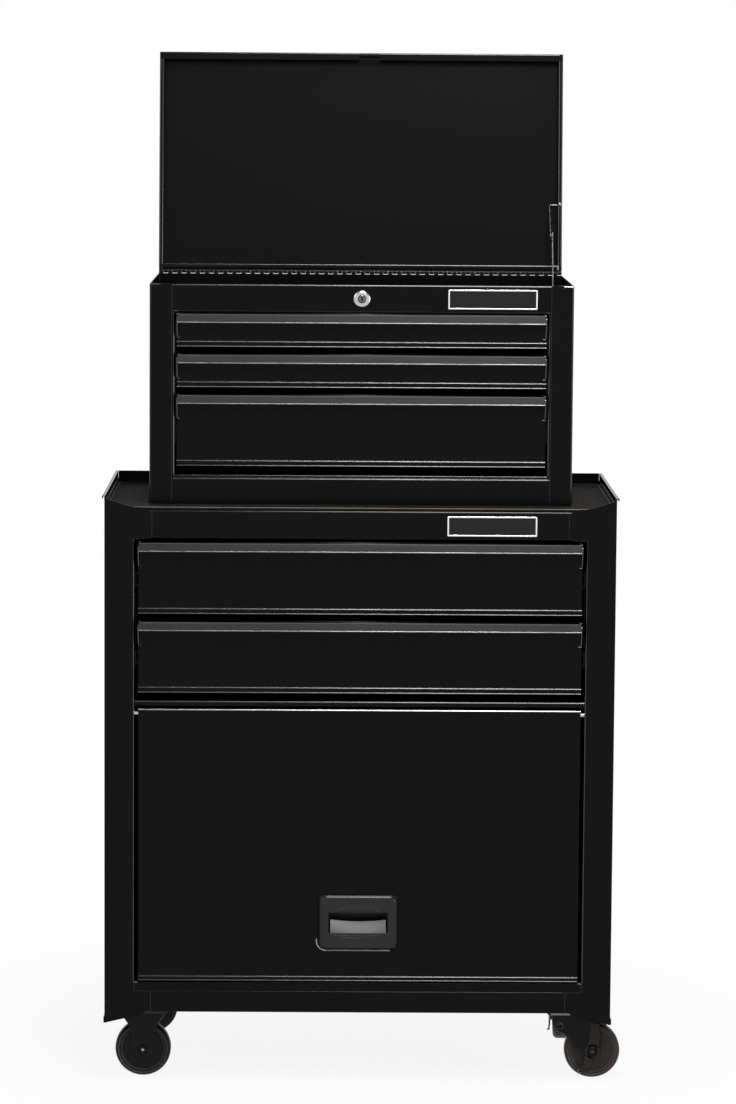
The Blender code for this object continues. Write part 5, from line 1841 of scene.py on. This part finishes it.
@dataclass
class Caster:
    """A caster: plate, fork, wheel, axle and, where it swivels, a brake lever."""

    name: str
    centre: Point
    body: str
    wheel_body: str
    trail: float = 0.0
    turn: float = 0.0
    swivel: bool = False
    brake_body: str = ""
    radius: float = 37.5
    axle_z: float = 37.179
    hub: float = 11.5
    leg_sheet: float = 2.5
    plate_top: float = 96.0
    plate_sheet: float = 3.0
    plate_half: Point = (33.5, 46.0)
    plate_corner: float = 6.0
    bolt_place: Point = (24.0, 35.0)
    bolt_head: float = 5.5
    play: float = 0.5
    wheel_half: float = 11.0
    head_rise: float = 4.0
    fork_end: float = 12.0
    lever_sheet: float = 2.0
    collar: float = 10.3
    collar_bore: float = 6.8
    pedal_place: Point = (-19.0, -30.0)
    ring_outer: Point = (31.3, 33.3)
    ring_inner: Point = (28.4, 29.2)

    def __post_init__(self) -> None:
        """Work out the turn and place of what swivels."""
        self.place = (
            Matrix.Translation((self.centre[0], self.centre[1], 0))
            @ Matrix.Rotation(math.radians(self.turn), 4, "Z")
        )
        self.leg_y = self.hub + self.play
        self.plate_bottom = self.plate_top - self.plate_sheet
        self.axle = (self.trail, self.axle_z)

    def build(self) -> None:
        """Make all its pieces."""
        self.wheel()
        self.bolt()
        self.fork()
        if self.swivel:
            self.lever()

    def wheel(self) -> None:
        """The wheel: tread, side rings, disc and hub."""
        half = self.wheel_half
        side = [
            (self.radius - 0.35, half * 0.2), (self.radius - 0.4, half * 0.55), (self.radius - 1.2, half * 0.78),
            (self.radius - 2.8, half * 0.94), (self.radius - 3.6, half - 0.05), (33.4, half - 0.2),
            (32.5, half - 1.0), (31.7, half - 1.2), (31.3, half - 0.7), (29.2, half - 0.7), (28.4, half - 1.2),
            (27.2, half - 2.3), (24.0, half - 2.9), (15.0, half - 2.9), (12.6, half - 2.4), (10.9, half - 0.6),
            (10.4, self.hub), (5.4, self.hub), (4.2, self.hub - 0.6),
        ]
        profile = side + [(r, -h) for r, h in reversed(side)]
        shape = Shape.turned(profile, Axis.Y, self.axle, 72)
        # The ring slopes are painted a lighter brown all round: painted highlight of slopes that catch the light.
        shape.worn_with_highlight(WearAndHighlight.EDGE, lambda middle, normal: normal.y < -0.05 and self.on_ring(middle))
        name = f"{self.name}_wheel"
        # The right wheels take the lighter copy of the moulding: painted light.
        finish = WHEEL_PLASTIC_PAINTED_LIGHT if self.swivel else WHEEL_PLASTIC
        make_piece(f"{name}_turned", shape.moved(self.place), finish, self.wheel_body, (name,))

    def on_ring(self, place: Vector) -> bool:
        """Whether a place is on the slopes of the ring round the wheel's disc.

        Args:
            place: the place.

        Returns:
            True on the slopes.
        """
        reach = math.hypot(place.x - self.axle[0], place.z - self.axle[1])
        return any(low < reach < high for low, high in (self.ring_outer, self.ring_inner))

    def bolt(self) -> None:
        """The axle with a domed head in front and a hexagon nut behind."""
        seat = self.leg_y + self.leg_sheet + 0.3
        end = seat + self.head_rise
        head = [
            (0.0, -end), (1.1, -end + 0.25), (2.0, -end + 1.0), (2.3, -end + 1.7), (5.6, -end + 2.2),
            (6.5, -seat - 0.4), (6.5, -seat),
        ]
        shank = [(3.9, -seat), (3.9, seat + 3.0), (3.3, seat + 3.9), (0.0, seat + 3.9)]
        shape = Shape.turned(head + shank, Axis.Y, self.axle, 40)
        nut = Shape.prism(ring(self.axle, 6.4, 6), Axis.Y, seat, seat + 3.2)
        shape.union(nut)
        # The head's dome is painted lighter as a painted glint, fully bright on the left casters.
        shape.worn_with_highlight(WearAndHighlight.EDGE if self.swivel else WearAndHighlight.BARE, lambda middle, normal: middle.y < -end + 1.2)
        name = f"{self.name}_axle"
        make_piece(f"{name}_bolt", shape.moved(self.place), DARK_STEEL, self.body, (name,))

    def plate(self) -> Shape:
        """The plate with its four bolt heads.

        Returns:
            The solid, about its own middle.
        """
        wide, deep = self.plate_half
        outline = rectangle(-wide, wide, -deep, deep, self.plate_corner)
        shape = Shape.prism(outline, Axis.Z, self.plate_bottom, self.plate_top)
        # The plate's front edge is painted lighter as painted highlight, bright on the swivelling right casters,
        # where the light falls.
        shape.worn_with_highlight(WearAndHighlight.BRIGHT if self.swivel else WearAndHighlight.FAINT, lambda middle, normal: normal.y < -0.9)
        across, along = self.bolt_place
        for place in ((-across, -along), (-across, along), (across, -along), (across, along)):
            bolt = ring(place, self.bolt_head, 6)
            shape.add(Shape.prism(bolt, Axis.Z, self.plate_bottom - 3.5, self.plate_bottom + 0.2))
        return shape

    def fork(self) -> None:
        """The fork: two legs under the plate or under the swivel's crown."""
        crown_top = self.plate_bottom - 3.8
        end = arc(self.axle, self.fork_end, 0, -180, 12)
        holes = [ring(self.axle, 4.2, 24)]
        if self.swivel:
            top = crown_top - 1.0
            outline = [
                (-22.0, top), (19.0, top), (30.0, 84.0), (37.5, 72.0), (40.5, 55.0), *end[:9], (15.9, 31.5),
                (-9.5, 60.6), (-11.6, 61.5), (-19.1, 64.3), (-22.9, 69.0), (-25.5, 75.0), (-26.0, 82.0),
            ]
            holes.append(ring((-16.7, 71.0), 5.2, 24))
        else:
            top = self.plate_bottom + 0.3
            right = [(33.0, top), (32.0, 88.5), (27.0, 81.5), (18.5, 69.5), (14.4, 56.4)]
            outline = [*right, *end, *[(-x, z) for x, z in reversed(right)]]
        legs = [
            Shape.prism(outline, Axis.Y, -self.leg_y - self.leg_sheet, -self.leg_y, tuple(holes)),
            Shape.prism(outline, Axis.Y, self.leg_y, self.leg_y + self.leg_sheet, tuple(holes)),
        ]
        # The legs' front edges are rounded and painted faintly lighter: painted highlight.
        for leg in legs:
            leg.eased(0.6, WearAndHighlight.FAINT, lambda m: abs(m.y + self.leg_y + self.leg_sheet) < TOUCH)
        name = f"{self.name}_fork"
        if not self.swivel:
            shape = self.plate().add(*legs).moved(self.place)
            make_piece(f"{name}_pressed", shape, DARK_STEEL, self.body, (name,))
            return
        # The crown's upper rounding is painted lighter: painted highlight.
        crown = Shape.turned(
            [
                (4.8, crown_top - 2.5), (4.8, crown_top), (19.0, crown_top), (21.2, crown_top - 0.5),
                (22.0, crown_top - 1.4), (22.0, crown_top - 2.5),
            ],
            Axis.Z, (0, 0), 48,
        ).worn_with_highlight(WearAndHighlight.EDGE, lambda middle, normal: normal.z > 0.2 and math.hypot(middle.x, middle.y) > 19)
        make_piece(
            f"{name}_pressed", crown.add(*legs).moved(self.place), DARK_STEEL, self.body, (name,)
        )
        still = Matrix.Translation((self.centre[0], self.centre[1], 0))
        race = Shape.turned(
            [
                (0.0, self.plate_bottom - 3.5), (17.0, self.plate_bottom - 3.5), (19.4, self.plate_bottom - 2.6),
                (20.0, self.plate_bottom - 1.2), (20.0, self.plate_bottom + 0.3), (0.0, self.plate_bottom + 0.3),
            ],
            Axis.Z, (0, 0), 48,
        )
        head_top = crown_top - 2.8
        pin = Shape.turned(
            [
                (0.0, head_top - 3.0), (6.4, head_top - 3.0), (8.0, head_top - 2.0), (8.0, head_top),
                (4.5, head_top), (4.5, self.plate_bottom - 3.2), (0.0, self.plate_bottom - 3.2),
            ],
            Axis.Z, (0, 0), 32,
        )
        node = f"{self.name}_plate"
        make_piece(
            f"{node}_pressed", self.plate().add(race, pin).moved(still), DARK_STEEL, "carcass", (node,), 0.4
        )

    def lever(self) -> None:
        """The brake lever hung on the axle's head."""
        back = -self.leg_y - self.leg_sheet - 0.3
        front = back - self.lever_sheet
        x, z = self.axle
        collar = Shape.prism(
            ring(self.axle, self.collar, 32), Axis.Y, front, back, (ring(self.axle, self.collar_bore, 32),)
        )
        shoe_low = z + self.radius + 1.2
        bar = Shape.prism(
            [(x - 8.0, z + 6.0), (x + 9.0, z + 4.0), (x + 10.0, z + 20.0), (x + 9.0, shoe_low + 1.6),
             (x - 2.5, shoe_low + 1.6), (x - 4.0, z + 20.0)],
            Axis.Y, front, back,
        )
        shoe = Shape.prism(
            [*arc(self.axle, self.radius + 1.3, 96, 62, 8), *arc(self.axle, self.radius + 3.4, 62, 96, 8)],
            Axis.Y, front, back + 13.0,
        )
        tip_x = x + self.pedal_place[0]
        tip_z = z + self.pedal_place[1]
        shank = Shape.prism(
            rounded(
                [(x - 9.8, z - 3.0), (x - 11.6, z - 18.0), (tip_x + 1.4, tip_z + 6.0), (tip_x, tip_z),
                 (tip_x + 4.2, tip_z), (tip_x + 6.5, tip_z + 6.5), (x - 2.4, z - 20.5), (x + 3.0, z - 9.0)],
                2.0, True, 4,
            ),
            Axis.Y, front, back,
        )
        # The pedal is painted bright, and the lever's front edges faintly lighter: painted highlight.
        pedal = Shape.fold(
            [(back - 1.0, tip_z + 6.0), (back - 1.0, tip_z + 0.9), (front - 2.0, tip_z + 0.9)],
            Axis.X, tip_x + 0.2, tip_x + 4.0, 1.2, 1.6,
        ).worn_with_highlight(WearAndHighlight.BRIGHT, everywhere)
        whole = collar.add(bar, shank)
        whole.eased(0.5, WearAndHighlight.FAINT, lambda m: abs(m.y - front) < TOUCH)
        name = f"{self.name}_brake_lever"
        make_piece(
            f"{name}_pressed", whole.add(shoe, pedal).moved(self.place), LEVER_STEEL, self.brake_body, (name,)
        )


@dataclass
class Studio:
    """Floor, light and the camera at the photograph's viewing angle."""

    camera_place: tuple[float, float, float] = (-44.77, -5493.31, 1334.55)
    look: tuple[float, float, float] = (0.00986975, 0.99361179, -0.11241974)
    right: tuple[float, float, float] = (0.99993418, -0.00914922, 0.00692335)
    up: tuple[float, float, float] = (-0.00585056, 0.11248067, 0.99363669)
    lens: float = 137.24
    sensor: float = 36.0
    far: float = 60.0
    floor_radius: float = 2.4
    floor_drop: float = 0.0005
    floor_grey: float = 0.7
    floor_roughness: float = 0.9
    floor_shine: float = 0.1
    world_light: float = 0.32
    ceiling: float = 0.08
    white_below: float = 12.0
    dark_above: float = 30.0
    fade_start: float = 0.25
    fade_end: float = 1.1
    floor_glow: float = 0.9

    def build(self) -> None:
        """Make the studio."""
        self.camera()
        self.world()
        self.floor()
        self.lamp("overhead_softbox", (0.3, -1.14, 3.9), (0.15, -0.15, 0.75), (0.74, 1.2), 78.0)
        self.lamp("front_softbox", (0.3, -2.42, 2.76), (0.1, -0.15, 0.75), (0.9, 1.0), 34.0)
        self.lamp("right_softbox", (2.6, -1.6, 0.9), (0.2, 0.0, 0.7), (1.2, 1.4), 26.0)
        self.lamp("left_softbox", (-2.6, -2.0, 2.4), (0.0, 0.0, 0.7), (1.4, 1.4), 24.0)

    def camera(self) -> None:
        """The camera, from its solved place and directions."""
        data = bpy.data.cameras.new("camera")
        data.lens = self.lens
        data.sensor_width = self.sensor
        data.clip_end = self.far
        item = bpy.data.objects.new("camera", data)
        bpy.context.scene.collection.objects.link(item)
        back = -Vector(self.look)
        turn = Matrix((self.right, self.up, back)).transposed().to_4x4()
        item.matrix_world = Matrix.Translation(TO_PACKED @ Vector(self.camera_place)) @ turn
        bpy.context.scene.camera = item

    def world(self) -> None:
        """A white surround under a darker ceiling for what is seen or mirrored, and a softer one for light."""
        world = bpy.data.worlds.new("studio")
        bpy.context.scene.world = world
        world.use_nodes = True
        tree = world.node_tree
        light = tree.nodes["Background"]
        light.inputs["Color"].default_value = WHITE
        light.inputs["Strength"].default_value = self.world_light
        place = tree.nodes.new("ShaderNodeTexCoord").outputs["Generated"]
        shading = {
            "Value": wired(tree, "ShaderNodeSeparateXYZ", {0: place}, "Z"),
            "From Min": math.sin(math.radians(self.white_below)),
            "From Max": math.sin(math.radians(self.dark_above)),
            "To Min": 1.0,
            "To Max": self.ceiling,
        }
        strength = wired(tree, "ShaderNodeMapRange", shading, interpolation_type="SMOOTHSTEP")
        white = wired(tree, "ShaderNodeBackground", {"Color": WHITE, "Strength": strength})
        mix = wired(tree, "ShaderNodeMixShader", {0: self.seen(tree), 1: light.outputs[0], 2: white})
        tree.links.new(mix, tree.nodes["World Output"].inputs["Surface"])

    @staticmethod
    def seen(tree: bpy.types.NodeTree) -> bpy.types.NodeSocket:
        """1 for camera, glossy and transmission rays.

        Args:
            tree: the nodes to add to.

        Returns:
            The socket of the value.
        """
        path = tree.nodes.new("ShaderNodeLightPath")
        total = path.outputs["Is Camera Ray"]
        for name in ("Is Glossy Ray", "Is Transmission Ray"):
            total = wired(tree, "ShaderNodeMath", {0: total, 1: path.outputs[name]}, operation="MAXIMUM")
        return total

    def floor(self) -> None:
        """A pale floor that keeps a light shadow and fades into the surround."""
        mesh = bpy.data.meshes.new("floor")
        work = bmesh.new()
        bmesh.ops.create_circle(work, cap_ends=True, segments=96, radius=self.floor_radius)
        work.to_mesh(mesh)
        work.free()
        item = bpy.data.objects.new("floor", mesh)
        bpy.context.scene.collection.objects.link(item)
        item.location = (0, 0, -self.floor_drop)
        material = bpy.data.materials.new("pale_floor")
        material.use_nodes = True
        tree = material.node_tree
        shader = tree.nodes["Principled BSDF"]
        shader.inputs["Base Color"].default_value = (self.floor_grey, self.floor_grey, self.floor_grey, 1)
        shader.inputs["Roughness"].default_value = self.floor_roughness
        shader.inputs["Specular IOR Level"].default_value = self.floor_shine
        glow = wired(tree, "ShaderNodeEmission", {"Color": WHITE, "Strength": 1.0})
        place = tree.nodes.new("ShaderNodeTexCoord").outputs["Object"]
        fading = {
            "Value": wired(tree, "ShaderNodeVectorMath", {0: place}, "Value", operation="LENGTH"),
            "From Min": self.fade_start,
            "From Max": self.fade_end,
            "To Min": self.floor_glow,
            "To Max": 1.0,
        }
        fade = wired(tree, "ShaderNodeMapRange", fading, interpolation_type="SMOOTHSTEP")
        share = wired(tree, "ShaderNodeMath", {0: fade, 1: self.seen(tree)}, operation="MULTIPLY")
        mix = wired(tree, "ShaderNodeMixShader", {0: share, 1: shader.outputs[0], 2: glow})
        tree.links.new(mix, tree.nodes["Material Output"].inputs["Surface"])
        item.data.materials.append(material)

    @staticmethod
    def lamp(name: str, place: tuple, target: tuple, size: tuple, power: float) -> None:
        """A softbox.

        Args:
            name: its name.
            place: where it stands, in metres.
            target: what it is turned to, in metres.
            size: its width and height, in metres.
            power: its power in watts.
        """
        data = bpy.data.lights.new(name, "AREA")
        data.shape = "RECTANGLE"
        data.size, data.size_y = size
        data.energy = power
        item = bpy.data.objects.new(name, data)
        bpy.context.scene.collection.objects.link(item)
        item.location = place
        item.rotation_euler = (Vector(target) - Vector(place)).to_track_quat("-Z", "Y").to_euler()


def write_size() -> None:
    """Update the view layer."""
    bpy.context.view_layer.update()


def main() -> None:
    """Build the studio and every sub-assembly."""
    logging.basicConfig(level=logging.INFO, format="%(message)s")
    bpy.context.scene.view_settings.view_transform = "Standard"
    Studio().build()
    CabinetShell().build()
    ChestShell().build()
    # Drawer bends are painted lighter as painted highlight; the taller drawers get less, as no pull above shades
    # their ledges.
    for number in (1, 2, 3):
        wear_and_highlight = WearAndHighlight.SHINY if number == 3 else WearAndHighlight.BRIGHT
        Drawer(
            f"chest_drawer_{number}", pan_half=236.9, runner_half=244.4, back_y=336.0, fold_wear_and_highlight=wear_and_highlight
        ).build()
    for number in (1, 2):
        Drawer(
            f"cabinet_drawer_{number}", pan_half=287.9, runner_half=295.4, back_y=345.6, fold_wear_and_highlight=WearAndHighlight.SHINY
        ).build()
    Door().build()
    Lid().build()
    Lock().build()
    Nameplate("chest_nameplate", x0=113.8, x1=231.2, z0=1029.8, z1=1055.7, face=CHEST_FACE).build()
    Nameplate("cabinet_nameplate", x0=114.0, x1=231.7, z0=734.2, z1=760.5, face=CABINET_FACE).build()
    for place, along in (("front", CASTER_FRONT), ("rear", CASTER_REAR)):
        Caster(f"caster_{place}_left", (-CASTER_HALF, along), "carcass", f"{place}_left_wheel").build()
    for place, along, turn in (("front", CASTER_FRONT, 0.0), ("rear", CASTER_REAR, -90.0)):
        Caster(
            f"caster_{place}_right", (CASTER_HALF, along), f"{place}_right_swivel", f"{place}_right_wheel",
            trail=28.5, turn=turn, swivel=True, brake_body=f"{place}_right_brake",
        ).build()
    write_size()


if __name__ == "__main__":
    main()
